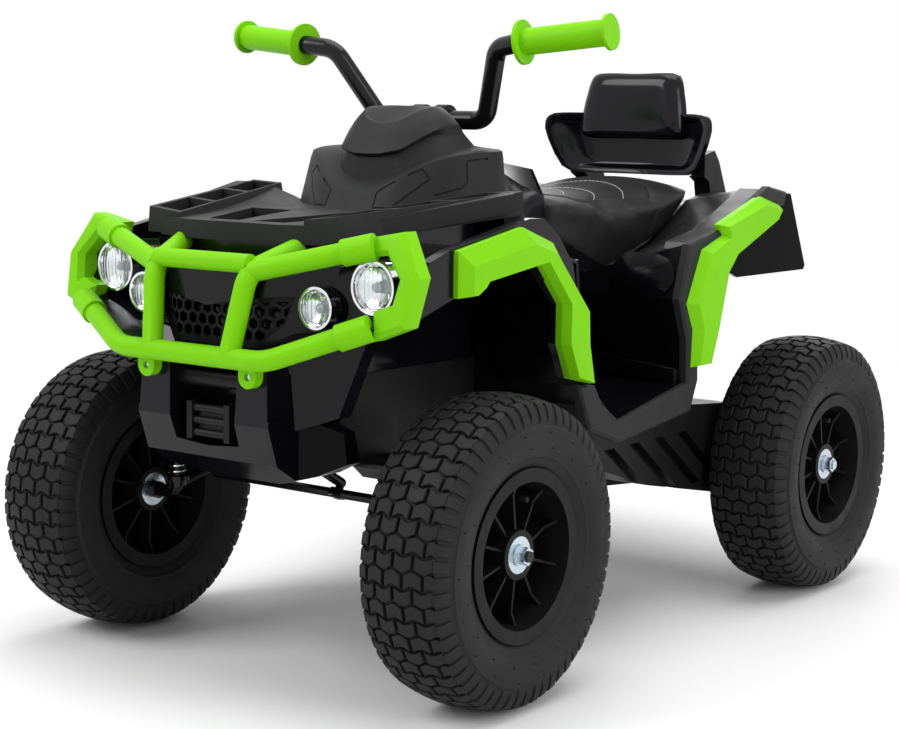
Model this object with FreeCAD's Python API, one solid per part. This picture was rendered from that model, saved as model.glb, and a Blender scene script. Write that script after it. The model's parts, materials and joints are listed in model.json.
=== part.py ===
import FreeCAD, Part
import math
import os

V = FreeCAD.Vector

# Fits and cuts shared by all pieces
running_clearance = 0.05
seat_clearance = 0.3
overrun = 20.0
offcut_share = 0.01

# Wheels: axles, tyre, rim and bearings
wheelbase = 692.0
track = 532.0
tyre_radius = 165.0
tyre_width = 110.0
tread_width = 92.0
crown_rise = 7.0
tread_thickness = 13.0
sidewall_thickness = 7.0
bead_radius = 84.0
bead_width = 84.0
bead_thickness = 7.0
tread_pitches = 24
tread_slot_width = 5.0
tread_slot_depth = 6.0
tread_groove_x = 17.0
shoulder_slot_drop = 10.0
rim_flange_radius = 91.4
rim_flange_thickness = 4.0
rim_dish_radius = 77.0
rim_dish_root_radius = 71.0
rim_web_thickness = 5.0
rim_fins = 10
rim_fin_thickness = 3.0
rim_fin_kink_radius = 62.0
hub_radius = 26.0
hub_width = 72.0
hub_bore_radius = 12.0
bearing_radius = 19.5
bearing_width = 10.0
axle_radius = 6.0
axle_collar_radius = 10.0
axle_thread_length = 14.0
washer_radius = 11.5
washer_thickness = 2.0
nut_flats = 17.0
nut_height = 9.0
# points of a fin's edge: share of the hub's half width
rim_fin_hub_share = 0.86
rim_fin_kink_share = 0.76
rim_fin_lip_share = 0.98

# Front spindles, springs and axle plate
kingpin_x = 190.0
kingpin_radius = 7.0
kingpin_bend = 16.0
kingpin_head_radius = 11.0
kingpin_head_height = 6.0
steering_arm_length = 66.0
steering_arm_x = 213.0
steering_arm_radius = 6.0
steering_eye_radius = 10.0
steering_eye_thickness = 5.0
steering_eye_rise = 24.0
kingpin_collar_height = 6.0
arm_hole_clearance = 1.4
perch_radius = 13.5
perch_thickness = 4.0
perch_rim = 2.0
spring_wire_radius = 1.3
spring_mean_radius = 9.7
spring_turns = 5
spring_height = 38.0
beam_thickness = 6.0
beam_tube_radius = 13.0
beam_tube_top = 52.0
beam_half_length = 205.0
beam_depth = 76.0
kingpin_bush_wall = 2.5
# half of the plate seen from above: across, and from front to rear
beam_shares = [(0.0, 0.0), (0.80, 0.0), (1.0, 0.12), (1.0, 0.56), (0.80, 0.66), (0.30, 1.0), (0.0, 1.0)]
beam_front_share = 0.34

# Steering column, tie rod and handlebar
column_rake = 30.0
column_radius = 8.0
column_length = 442.0
crank_radius = 6.0
crank_rise = 13.0
crank_pin_radius = 5.0
crank_pin_tail = 6.0
tie_rod_radius = 5.5
tie_rod_eye_radius = 10.0
tie_rod_eye_height = 9.0
tie_rod_gap = 3.6
tie_pin_radius = 4.0
tie_pin_height = 31.0
column_bush_wall = 4.0
column_bush_length = 18.0
upper_bush_station = 302.0
bar_radius = 11.0
bar_bend = 26.0
bar_half_width = 266.0
bar_low_x = 78.0
bar_rise_x = 120.0
bar_rise_back = 38.0
bar_rise_height = 82.0
bar_grip_x = 156.0
bar_grip_back = 47.0
bar_grip_height = 87.0
bar_end_back = 34.0
bar_end_height = 98.0
saddle_half = 30.0
saddle_depth = 30.0
saddle_height = 18.0
clamp_x = 17.0
clamp_width = 16.0
clamp_wall = 7.0
grip_radius = 15.0
grip_inner_flange_radius = 25.0
grip_outer_flange_radius = 20.0
grip_flange_thickness = 4.0
grip_end_wall = 4.0

# Chassis tub
spine_half = 98.0
spine_front_y = -392.0
spine_low_z = 133.0
spine_length = 797.0
spine_height = 202.0
spine_chin_share = 0.54
spine_deck_share = 0.64
spine_shares = [
    (0.0, spine_chin_share), (0.226, spine_chin_share), (0.345, 0.15), (0.76, 0.0), (0.87, 0.085),
    (1.0, 0.30), (1.0, 0.40), (0.80, spine_deck_share), (0.35, spine_deck_share), (0.30, 1.0), (0.0, 1.0),
]
board_half = 206.0
board_front_y = -100.0
board_low_z = 130.0
board_length = 362.0
board_height = 190.0
board_shares = [
    (0.0, 1.0), (0.02, 0.90), (0.50, 0.86), (0.515, 0.66), (0.69, 0.66), (1.0, 0.61), (1.0, 0.185),
    (0.94, 0.0), (0.44, 0.19), (0.14, 0.37), (0.03, 0.58),
]
board_ribs = 4
board_slot_depth = 13.0
board_slot_width = 22.0
board_slot_step = 56.0
board_slot_lean = 95.0
board_slot_height = 70.0
board_slot_front_y = -40.0
board_slot_low_z = 152.0
battery_width = 150.0
battery_length = 180.0
battery_height = 92.0
battery_low_z = 178.0
battery_y = 0.0
battery_clearance = 3.0
terminal_radius = 6.0
terminal_height = 8.0

# Rear axle drive
gearbox_outer_x = 150.0
gearbox_boss_x = 200.0
gearbox_radius = 46.0
gearbox_boss_radius = 26.0
gearbox_motor_radius = 27.0
motor_forward = 56.0
motor_rise = 47.0
motor_radius = 18.0
motor_end_x = 203.0

# Footwell trays, tunnel and frames
tray_half = 238.0
tray_wall = 5.0
footwell_front_y = -152.0
footwell_low_z = 265.0
footwell_length = 234.0
footwell_height = 196.0
footwell_shares = [
    (0.0, 0.97), (0.03, 0.69), (0.13, 0.24), (0.36, 0.0), (1.0, 0.15), (0.99, 0.41), (0.91, 0.67),
    (0.99, 1.0),
]
tunnel_half = 102.0
tunnel_wall = 4.0
tunnel_front_y = -152.0
tunnel_shoulder_z = 455.0
tunnel_lap = 4.0
frame_outer_x = 246.0
frame_inner_x = 234.0
frame_bevel = 3.0
frame_front_y = -157.0
frame_low_z = 239.0
frame_length = 479.0
frame_height = 287.0
frame_shares = [
    (0.075, 0.254), (0.109, 0.171), (0.186, 0.09), (0.499, 0.192), (0.493, 0.373), (0.451, 0.547),
    (0.493, 0.774), (0.672, 0.833), (0.902, 1.0), (1.0, 0.972), (0.987, 0.909), (0.896, 0.93),
    (0.687, 0.77), (0.562, 0.721), (0.52, 0.54), (0.545, 0.37), (0.553, 0.195), (0.518, 0.063),
    (0.188, 0.0), (0.054, 0.08), (0.0, 0.268),
]

# Fender flares
flare_inner_x = 238.0
flare_brow_x = 246.0
flare_outer_x = 257.0
front_flare_y = -406.0
front_flare_z = 316.0
front_flare_length = 270.0
front_flare_height = 180.0
front_flare_shares = [
    (0.085, 0.89), (0.5, 1.0), (0.711, 0.894), (0.956, 0.467), (0.963, 0.25), (1.0, 0.0), (0.856, 0.05),
    (0.785, 0.272), (0.785, 0.517), (0.622, 0.778), (0.222, 0.694), (0.205, 0.66), (0.16, 0.622),
    (0.085, 0.622),
]
front_flare_crest_shares = [
    (0.135, 0.80), (0.54, 0.90), (0.69, 0.83), (0.93, 0.46), (0.94, 0.25), (0.98, 0.01), (0.866, 0.06),
    (0.80, 0.272), (0.80, 0.52), (0.633, 0.79), (0.235, 0.71), (0.212, 0.675), (0.165, 0.637),
    (0.135, 0.637),
]
rear_flare_y = 73.0
rear_flare_z = 312.0
rear_flare_length = 226.0
rear_flare_height = 202.0
rear_flare_shares = [
    (0.327, 0.842), (0.779, 1.0), (1.0, 0.94), (0.92, 0.837), (0.473, 0.634), (0.389, 0.535),
    (0.296, 0.208), (0.221, 0.0), (0.062, 0.0), (0.071, 0.228), (0.0, 0.386), (0.142, 0.703), (0.354, 0.777),
]
rear_flare_crest_shares = [
    (0.36, 0.83), (0.775, 0.95), (0.96, 0.91), (0.91, 0.85), (0.46, 0.66), (0.37, 0.56), (0.275, 0.21),
    (0.205, 0.015), (0.09, 0.015), (0.12, 0.228), (0.055, 0.386), (0.18, 0.68), (0.385, 0.76),
]

# Front fender body
fender_half = 240.0
fender_wall = 4.0
fender_rim_x = 228.0
skin_front_y = -452.0
skin_low_z = 418.0
skin_length = 294.0
skin_height = 52.0
skin_shares = [(0.0, 0.0), (0.095, 0.62), (0.69, 1.0), (0.86, 0.92), (1.0, 0.71)]
fender_rim_y = -455.0
fender_rim_z = 316.0
fender_rim_length = 323.0
fender_rim_height = 188.0
fender_rim_shares = [
    (0.0, 0.58), (0.10, 0.80), (0.21, 0.86), (0.635, 1.0), (0.72, 0.995), (0.81, 0.89), (0.90, 0.71),
    (0.935, 0.45), (1.0, 0.0), (0.87, 0.05), (0.81, 0.26), (0.82, 0.49), (0.68, 0.72), (0.34, 0.665),
    (0.24, 0.60), (0.05, 0.50),
]
hood_half = 96.0
hood_front_y = -440.0
hood_rear_y = -157.0
hood_top_z = 520.0

# Front deck with its rack pockets
deck_half = 206.0
deck_front_y = -452.0
deck_length = 232.0
deck_low_z = 477.0
deck_thickness = 20.0
deck_valley_x = 104.0
deck_wing_root_x = 168.0
deck_valley_rise = 11.0
deck_wing_rise = 33.0
deck_shares = [
    (0.0, 0.0), (0.32, 0.0), (0.58, 0.05), (0.78, 0.33), (0.95, 0.80), (1.0, 0.96), (0.58, 1.0), (0.0, 1.0),
]
rail_width = 53.0
rail_front_x = 86.0
rail_front_y = -441.0
rail_front_z = 480.0
rail_front_height = 28.0
rail_rear_x = 149.0
rail_rear_y = -206.0
rail_rear_z = 505.0
rail_rear_height = 25.0
# each end of a rail seen from the front: across its width, then up its height
rail_front_shares = [(0.0, 0.0), (1.0, 0.0), (0.95, 1.0), (0.08, 0.82)]
rail_rear_shares = [(0.0, 0.0), (1.0, 0.0), (0.95, 1.0), (0.10, 0.92)]
rail_pockets = 3
rail_wall = 8.0
rail_pocket_depth = 13.0
tray_inner_x = 10.0
tray_outer_x = 54.0
tray_front_y = -433.0
tray_length = 118.0
tray_inner_splay = 28.0
tray_outer_splay = 46.0
tray_depth = 7.0

# Steering cowl
cowl_half = 134.0
cowl_front_y = -274.0
cowl_length = 136.0
cowl_low_z = 500.0
collar_height = 72.0
collar_front_z = 522.0
collar_front_slope = 0.65
cowl_wall = 4.0
collar_low_shares = [(0.0, 0.0), (0.37, 0.03), (0.72, 0.265), (1.0, 0.5), (1.0, 1.0), (0.0, 1.0)]
collar_top_shares = [(0.0, 0.25), (0.30, 0.27), (0.54, 0.46), (0.86, 0.64), (0.94, 0.97), (0.0, 0.97)]
dome_half = 74.0
dome_front_y = -250.0
dome_length = 124.0
dome_height = 122.0
# each ring of the chin and the dome: height, steps of wall inside, then half of its outline seen from above
chin_shares = [
    (0.16, -1, [(0.0, 0.09), (0.42, 0.12), (0.82, 0.34), (0.96, 0.60), (0.96, 0.90), (0.0, 0.98)]),
    (0.53, 2, [(0.0, 0.03), (0.46, 0.07), (0.89, 0.32), (0.97, 0.60), (0.92, 0.90), (0.0, 1.0)]),
]
dome_shares = [
    (0.53, 1, [(0.0, 0.0), (0.52, 0.05), (0.94, 0.32), (1.0, 0.62), (0.84, 1.0), (0.0, 1.0)]),
    (0.72, 0, [(0.0, 0.04), (0.50, 0.09), (0.87, 0.34), (0.91, 0.62), (0.74, 0.86), (0.0, 0.86)]),
    (0.90, 0, [(0.0, 0.17), (0.42, 0.21), (0.68, 0.40), (0.70, 0.58), (0.58, 0.76), (0.0, 0.76)]),
    (1.0, -1, [(0.0, 0.36), (0.28, 0.38), (0.46, 0.50), (0.48, 0.60), (0.40, 0.74), (0.0, 0.74)]),
]
cowl_slot_half = 22.0
cowl_slot_front_y = -160.0
cowl_slot_top_z = 590.0
vent_depth = 3.0
vent_half_width = 31.0
vent_half_height = 21.0
vent_x = 60.0
vent_y = -244.5
vent_z = 532.0
vent_turn = 36.0
vent_tilt = 25.0
vent_shares = [(0.0, 0.0), (0.33, 0.0), (1.0, 0.71), (0.91, 1.0), (0.09, 0.48)]

# Tank cover and controls
tank_front_y = -138.0
tank_length = 162.0
tank_half = 130.0
tank_low_z = 455.0
tank_height = 111.0
tank_wall = 4.0
# each section of the tank: its place along the tank, then half of its outline seen from the front
tank_shares = [
    (0.0, [(0.0, 1.0), (0.70, 0.97), (0.96, 0.82), (0.98, 0.0)]),
    (0.43, [(0.0, 0.97), (0.54, 0.91), (0.77, 0.68), (0.86, 0.0)]),
    (1.0, [(0.0, 0.88), (0.40, 0.82), (0.53, 0.54), (0.60, 0.0)]),
]
console_half = 48.0
console_front_y = -96.0
console_length = 40.0
console_low_z = 540.0
console_top_z = 571.0
button_x = -26.0
button_radius = 9.0
button_rise = 5.0
button_travel = 3.0
button_flange_radius = 12.0
button_flange_thickness = 3.0
switch_x = 24.0
switch_length = 24.0
switch_width = 14.0
switch_pivot_radius = 3.0
switch_rise = 6.0
switch_swing_room = 1.2

# Nose panel, grille and headlights
nose_half = 213.0
nose_low_z = 285.0
nose_height = 193.0
nose_shares = [
    (0.0, 0.865), (0.46, 0.865), (0.52, 0.98), (0.96, 0.94), (1.0, 0.80), (0.81, 0.585), (0.65, 0.08),
    (0.45, 0.0), (0.43, 0.31), (0.0, 0.31),
]
nose_front_y = -484.0
nose_depth = 88.0
nose_plan_shares = [
    (0.0, 0.0), (0.27, 0.02), (0.52, 0.36), (1.0, 0.82), (1.0, 1.0), (0.52, 0.60), (0.27, 0.32),
    (0.0, 0.32),
]
grille_half = 96.0
grille_low_z = 371.0
grille_height = 54.0
grille_shares = [(0.0, 0.0), (0.62, 0.0), (0.90, 0.45), (1.0, 1.0), (0.0, 0.86)]
grille_thickness = 5.0
grille_recess = 7.0
grille_rim = 5.0
grille_cell = 6.4
grille_pitch = 14.5
grille_rows = 4
grille_columns = 13
beak_half = 66.0
beak_low_z = 412.0
beak_height = 37.0
beak_reach = 8.0
beak_shares = [(0.0, 0.0), (0.90, 0.30), (1.0, 0.62), (0.92, 1.0), (0.0, 1.0)]
lamp_big_x = 186.0
lamp_big_z = 439.0
lamp_big_y = -447.0
lamp_big_radius = 28.0
lamp_small_x = 124.0
lamp_small_z = 415.0
lamp_small_y = -463.0
lamp_small_radius = 22.5
lamp_depth = 16.0
lamp_wall = 3.0
lamp_cup_depth = 12.0
lamp_housing_y = -405.0
lamp_housing_wall = 1.5
lens_recess = 4.0
lens_thickness = 3.0
lens_crown = 3.0

# Front fascia, winch roller and fairlead
fascia_half = 138.0
fascia_low_z = 221.0
fascia_height = 131.0
fascia_shares = [
    (0.0, 0.32), (0.33, 0.35), (0.36, 1.0), (0.65, 1.0), (0.67, 0.60), (0.98, 0.47), (1.0, 0.22),
    (0.80, 0.115), (0.43, 0.01), (0.0, 0.0),
]
fascia_window_share = 0.35
fascia_front_y = -500.0
fascia_depth = 95.0
fascia_side_shares = [
    (0.03, 1.0), (0.0, 0.54), (0.15, 0.22), (0.63, 0.0), (1.0, 0.0), (1.0, 0.22), (0.79, 1.0),
]
fascia_block_x = 94.0
fascia_block_recess = 47.0
fascia_block_sweep = 26.0
fascia_back_y = -452.0
fascia_back_half = 62.0
fascia_wall = 6.0
winch_roller_radius = 9.0
winch_roller_z = 332.0
winch_roller_y = -476.0
fairlead_half = 31.0
fairlead_low_z = 268.0
fairlead_height = 40.0
fairlead_front_y = -491.0
fairlead_depth = 12.0
fairlead_post = 8.0
fairlead_bar_radius = 4.5
fairlead_bars = 3
fairlead_neck_half = 20.0

# Bull bar
bull_tube_radius = 11.0
bull_cross_radius = 10.0
bull_sleeve_radius = 14.0
bull_sleeve_length = 34.0
bull_bend = 30.0
bull_low_y = -517.0
bull_low_z = 363.0
bull_low_bend_x = 104.0
bull_low_end_x = 206.0
bull_low_end_y = -474.0
bull_low_end_z = 402.0
bull_foot_x = 55.0
bull_knee_x = 67.0
bull_knee_y = -501.0
bull_knee_z = 451.0
bull_top_x = 83.0
bull_top_y = -440.0
bull_top_z = 474.0
bull_cross_z = 459.0
bull_cross_y = -497.0
bull_high_end_x = 192.0
bull_high_end_y = -450.0
bull_high_end_z = 481.0
bull_block_x = 176.0
bull_block_z = 388.0
bull_block_width = 75.0
bull_block_height = 109.0
bull_block_front_y = -474.0
bull_block_depth = 24.0
bull_block_lean = 26.0
bull_block_bevel = 6.0
bull_block_shares = [
    (0.03, 0.74), (0.0, 0.92), (0.63, 1.0), (1.0, 0.59), (0.92, 0.14), (0.39, 0.0), (0.32, 0.27),
    (0.62, 0.34), (0.68, 0.57), (0.42, 0.78),
]
bull_tab_x = 73.0
bull_tab_z = 344.0
bull_tab_radius = 12.0
bull_tab_thickness = 12.0
bull_tab_hole = 4.0

# Rear body with its tail
rear_half = 206.0
rear_wall = 4.0
rear_inner_x = 110.0
rear_body_y = 86.0
rear_body_z = 408.0
rear_body_length = 370.0
rear_body_height = 114.0
rear_side_shares = [
    (0.0, 0.28), (0.024, 0.47), (0.214, 0.58), (0.51, 0.99), (0.66, 0.96), (0.87, 0.91), (1.0, 0.05),
    (0.99, 0.0), (0.49, 0.0), (0.254, 0.28),
]
rear_inner_shares = [
    (0.0, 0.10), (0.06, 0.10), (0.33, 0.36), (0.57, 0.83), (0.68, 0.90), (0.87, 0.89), (1.0, 0.05),
    (0.99, 0.0), (0.49, 0.0), (0.254, 0.0),
]
rear_deck_shares = [(0.38, 0.37), (0.58, 0.77), (0.855, 0.79), (0.99, 0.04)]
arch_y = 68.0
arch_z = 312.0
arch_length = 254.0
arch_height = 210.0
arch_shares = [
    (0.087, 0.0), (0.217, 0.0), (0.283, 0.20), (0.366, 0.515), (0.44, 0.61), (0.84, 0.79), (0.96, 0.89),
    (1.0, 0.96), (0.815, 1.0), (0.38, 0.775), (0.106, 0.715), (0.08, 0.66), (0.016, 0.40), (0.087, 0.16),
]

# Seat and backrest
seat_front_y = 24.0
seat_length = 288.0
seat_half = 112.0
seat_low_z = 420.0
seat_height = 107.0
seat_tuck = 2.5
# each section of the seat: along, top half width, crown, edge, underside, underside half width
seat_shares = [
    (0.0, 0.68, 0.93, 0.80, 0.34, 0.64),
    (0.12, 0.83, 0.90, 0.77, 0.20, 0.80),
    (0.32, 0.92, 0.86, 0.72, 0.0, 0.88),
    (0.52, 0.98, 0.85, 0.72, 0.16, 0.93),
    (0.72, 1.0, 0.915, 0.775, 0.36, 0.95),
    (0.88, 1.0, 0.99, 0.85, 0.62, 0.93),
    (1.0, 0.90, 1.0, 0.88, 0.82, 0.86),
]
back_half = 134.0
back_low_z = 533.0
back_height = 82.0
back_thickness = 10.0
back_centre_y = 356.0
back_wing_forward = 36.0
back_recess = 3.0
back_rim = 9.0
back_corner = 18.0
back_shares = [(0.0, 0.0), (0.74, 0.0), (0.93, 0.33), (1.0, 0.72), (0.95, 1.0), (0.0, 1.0)]
head_half = 86.0
head_low_z = 580.0
head_height = 92.0
head_thickness = 26.0
head_edge = 7.0
head_corner = 14.0
head_shares = [(0.0, 0.0), (0.94, 0.0), (1.0, 0.22), (0.83, 1.0), (0.0, 1.0)]
head_gap_half = 70.0
post_x = 96.0
post_width = 24.0
post_y = 340.0
post_length = 74.0
post_low_z = 497.0
post_height = 70.0
post_shares = [(0.10, 0.92), (0.45, 1.0), (0.62, 0.80), (1.0, 0.0), (0.36, 0.0), (0.28, 0.40), (0.10, 0.50)]

# Throttle pedal
pedal_x = -170.0
pedal_width = 62.0
pedal_length = 70.0
pedal_thickness = 7.0
pedal_heel_y = -36.0
pedal_lift = 9.0
pedal_pivot_radius = 4.0
pedal_ribs = 5
pedal_rib_height = 2.5
pedal_rib_width = 4.0

# Places worked out from the values above
front_y = -wheelbase / 2
rear_y = wheelbase / 2
axle_z = tyre_radius
wheel_x = track / 2
hub_half = hub_width / 2
beam_top_z = spine_low_z + spine_chin_share * spine_height
beam_low_z = beam_top_z - beam_thickness
spine_deck_z = spine_low_z + spine_deck_share * spine_height
perch_low_z = axle_z + kingpin_bend
spring_top_z = perch_low_z + perch_thickness + spring_height
tube_top_z = beam_top_z + beam_tube_top
eye_low_z = axle_z + steering_eye_rise
eye_top_z = eye_low_z + steering_eye_thickness
tie_rod_y = front_y + steering_arm_length
tie_rod_z = eye_low_z - tie_rod_gap - tie_rod_radius
rake = math.radians(column_rake)
column_axis = V(0, math.sin(rake), math.cos(rake))
crank_axis = V(0, math.cos(rake), -math.sin(rake))
tie_rod_centre = V(0, tie_rod_y, tie_rod_z)
column_foot = tie_rod_centre - crank_axis * steering_arm_length
bar_centre = column_foot + column_axis * (column_length + bar_radius)
front_reach = bull_low_y - bull_tube_radius
rear_reach = rear_y + tyre_radius
origin_shift = -(front_reach + rear_reach) / 2


def place(shares, start, size):
    return [(start[0] + a * size[0], start[1] + b * size[1]) for a, b in shares]


def both(half):
    return half + [(-a, b) for a, b in reversed(half) if a]


def on_side(points, x):
    return [V(x, y, z) for y, z in points]


def on_front(points, y):
    return [V(x, y, z) for x, z in points]


def on_plan(points, z):
    return [V(x, y, z) for x, y in points]


def polygon(points):
    return Part.makePolygon(points + points[:1])


def side_prism(points, x0, x1):
    return Part.Face(polygon(on_side(points, x0))).extrude(V(x1 - x0, 0, 0))


def front_prism(points, y0, y1):
    return Part.Face(polygon(on_front(points, y0))).extrude(V(0, y1 - y0, 0))


def plan_prism(points, z0, z1):
    return Part.Face(polygon(on_plan(points, z0))).extrude(V(0, 0, z1 - z0))


def block(x0, x1, y0, y1, z0, z1):
    return Part.makeBox(x1 - x0, y1 - y0, z1 - z0, V(x0, y0, z0))


def rod(start, end, radius):
    run = end - start
    return Part.makeCylinder(radius, run.Length, start, run)


def sleeve(start, end, outer, inner):
    return rod(start, end, outer).cut(rod(start, end, inner))


def ruled(sections):
    return Part.makeLoft([polygon(section) for section in sections], True, True)


def mirrored(shape):
    return shape.mirror(V(0, 0, 0), V(1, 0, 0))


def pair(shape):
    return Part.makeCompound([shape, mirrored(shape)])


def fused(first, *others):
    return first.fuse(list(others)).removeSplitter()


# What is left of a shape beside its neighbours, without offcuts
def trimmed(shape, *others):
    solids = shape.cut(list(others)).Solids
    largest = max(solid.Volume for solid in solids)
    return Part.makeCompound([solid for solid in solids if solid.Volume > largest * offcut_share])


def moved(shape, step):
    copy = shape.copy()
    copy.translate(step)
    return copy


# An outline moved inwards by a gap, corner by corner
def inset(points, gap):
    count = len(points)
    area = sum(a[0] * b[1] - b[0] * a[1] for a, b in zip(points, points[1:] + points[:1]))
    side = gap if area > 0 else -gap
    result = []
    for i in range(count):
        result.append(mitre(points[i - 1], points[i], points[(i + 1) % count], side))
    return result


# The corner of two edges that both move to their left by a distance
def mitre(before, corner, after, side):
    ax, ay = corner[0] - before[0], corner[1] - before[1]
    bx, by = after[0] - corner[0], after[1] - corner[1]
    la, lb = math.hypot(ax, ay), math.hypot(bx, by)
    nx, ny = -ay / la - by / lb, ax / la + bx / lb
    scale = side / (1 + (ax * bx + ay * by) / (la * lb))
    return (corner[0] + nx * scale, corner[1] + ny * scale)


# A sheet of one thickness along an open line, on the line's right
def strip(points, thickness):
    first, last = points[0], points[-1]
    before = (2 * first[0] - points[1][0], 2 * first[1] - points[1][1])
    beyond = (2 * last[0] - points[-2][0], 2 * last[1] - points[-2][1])
    line = [before] + points + [beyond]
    other = [mitre(line[i - 1], line[i], line[i + 1], -thickness) for i in range(1, len(line) - 1)]
    return points + other[::-1]


# The two ends and the middle of the arc that rounds one corner
def corner_arc(before, corner, after, radius):
    u = (before - corner).normalize()
    w = (after - corner).normalize()
    half = u.getAngle(w) / 2
    reach = radius / math.tan(half)
    middle = (u + w).normalize()
    centre = corner + middle * (radius / math.sin(half))
    return corner + u * reach, centre - middle * radius, corner + w * reach


def rounded(points, radius):
    edges = []
    count = len(points)
    arcs = [corner_arc(points[i - 1], points[i], points[(i + 1) % count], radius) for i in range(count)]
    for i in range(count):
        edges.append(Part.Arc(*arcs[i]).toShape())
        edges.append(Part.LineSegment(arcs[i][2], arcs[(i + 1) % count][0]).toShape())
    return Part.Wire(edges)


def bent_line(points, radius):
    edges = []
    start = points[0]
    for i in range(1, len(points) - 1):
        arc = corner_arc(points[i - 1], points[i], points[i + 1], radius)
        edges.append(Part.LineSegment(start, arc[0]).toShape())
        edges.append(Part.Arc(*arc).toShape())
        start = arc[2]
    edges.append(Part.LineSegment(start, points[-1]).toShape())
    return Part.Wire(edges)


def tube(points, bend, radius):
    path = bent_line(points, bend)
    ring = Part.Wire(Part.makeCircle(radius, points[0], points[1] - points[0]))
    return path.makePipeShell([ring], True, False)


# Wheels, modelled round the X axis
def make_tyre():
    half = tread_width / 2
    shoulder = tyre_radius - crown_rise
    middle = (tyre_radius + bead_radius) / 2
    bead = bead_width / 2
    inner = half - sidewall_thickness
    outline = [
        Part.Arc(V(-half, 0, shoulder), V(0, 0, tyre_radius), V(half, 0, shoulder)),
        Part.Arc(V(half, 0, shoulder), V(tyre_width / 2, 0, middle), V(bead, 0, rim_flange_radius)),
        Part.LineSegment(V(bead, 0, rim_flange_radius), V(bead, 0, bead_radius)),
        Part.LineSegment(V(bead, 0, bead_radius), V(bead - bead_thickness, 0, bead_radius)),
        Part.Arc(
            V(bead - bead_thickness, 0, bead_radius),
            V(tyre_width / 2 - sidewall_thickness, 0, middle),
            V(inner, 0, shoulder - tread_thickness),
        ),
        Part.Arc(
            V(inner, 0, shoulder - tread_thickness),
            V(0, 0, tyre_radius - tread_thickness),
            V(-inner, 0, shoulder - tread_thickness),
        ),
        Part.Arc(
            V(-inner, 0, shoulder - tread_thickness),
            V(sidewall_thickness - tyre_width / 2, 0, middle),
            V(bead_thickness - bead, 0, bead_radius),
        ),
        Part.LineSegment(V(bead_thickness - bead, 0, bead_radius), V(-bead, 0, bead_radius)),
        Part.LineSegment(V(-bead, 0, bead_radius), V(-bead, 0, rim_flange_radius)),
        Part.Arc(V(-bead, 0, rim_flange_radius), V(-tyre_width / 2, 0, middle), V(-half, 0, shoulder)),
    ]
    section = Part.Face(Part.Wire([curve.toShape() for curve in outline]))
    carcass = section.revolve(V(0, 0, 0), V(1, 0, 0), 360)
    return carcass.cut(tread_slots(shoulder))


# Two grooves round the tread, shoulder slots on both sides and slanted slots between the grooves
def tread_slots(shoulder):
    floor = tyre_radius - tread_slot_depth
    over = tyre_radius + overrun
    groove = tread_slot_width / 2
    cuts = []
    for x in (-tread_groove_x, tread_groove_x):
        cuts.append(sleeve(V(x - groove, 0, 0), V(x + groove, 0, 0), over, floor))
    outer = tread_width / 2 + overrun
    edge = tread_groove_x
    flank = [(edge, floor), (edge, over), (outer, over), (outer, shoulder - shoulder_slot_drop)]
    middle = [(-edge, floor), (-edge, over), (edge, over), (edge, floor)]
    left = front_prism(flank, -groove, groove)
    centre = front_prism(middle, -groove, groove)
    step = 360 / tread_pitches
    for i in range(tread_pitches):
        for slot, turn in ((left, 0.0), (mirrored(left), 0.5), (centre, 0.25)):
            cut = slot.copy()
            cut.rotate(V(0, 0, 0), V(1, 0, 0), (i + turn) * step)
            cuts.append(cut)
    return cuts


def make_rim():
    flange = bead_width / 2 + rim_flange_thickness
    seat = bead_width / 2
    web = rim_web_thickness / 2
    pocket = hub_half - bearing_width
    half = [
        (flange, rim_dish_radius), (flange, rim_flange_radius), (seat, rim_flange_radius),
        (seat, bead_radius),
    ]
    inside = [
        (-flange, rim_dish_radius), (-web, rim_dish_root_radius), (-web, hub_radius),
        (-hub_half, hub_radius), (-hub_half, bearing_radius), (-pocket, bearing_radius),
        (-pocket, hub_bore_radius), (pocket, hub_bore_radius), (pocket, bearing_radius),
        (hub_half, bearing_radius), (hub_half, hub_radius), (web, hub_radius), (web, rim_dish_root_radius),
    ]
    points = half + [(-a, b) for a, b in reversed(half[1:])] + inside
    body = Part.Face(polygon(on_front(points, 0))).revolve(V(0, 0, 0), V(1, 0, 0), 360)
    root = (hub_radius + bearing_radius) / 2
    lip = (rim_dish_radius + bead_radius) / 2
    edge = [
        (hub_half * rim_fin_hub_share, root), (hub_half * rim_fin_kink_share, rim_fin_kink_radius),
        (hub_half * rim_fin_lip_share, lip),
    ]
    fin = front_prism(both(edge), -rim_fin_thickness / 2, rim_fin_thickness / 2)
    fins = []
    for i in range(rim_fins):
        turned = fin.copy()
        turned.rotate(V(0, 0, 0), V(1, 0, 0), i * 360 / rim_fins)
        fins.append(turned)
    return body.fuse(fins)


def make_bearings():
    bore = axle_radius + running_clearance
    outer = sleeve(V(hub_half - bearing_width, 0, 0), V(hub_half, 0, 0), bearing_radius, bore)
    return pair(outer)


# A washer and nut that hold a wheel on its axle, outside the hub
def make_axle_nut():
    face = hub_half + seat_clearance
    start = V(face, 0, 0)
    seat = V(face + washer_thickness, 0, 0)
    end = V(face + washer_thickness + nut_height, 0, 0)
    corner = nut_flats / math.sqrt(3)
    turns = [math.radians(60 * i) for i in range(6)]
    points = [(corner * math.sin(a), corner * math.cos(a)) for a in turns]
    nut = side_prism(points, seat.x, end.x)
    bore = rod(start, end, axle_radius + running_clearance)
    return fused(nut, rod(start, seat, washer_radius)).cut(bore)


def at_wheel(shape, left, y):
    placed = moved(shape, V(wheel_x, y, axle_z))
    return placed if left else mirrored(placed)


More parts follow.
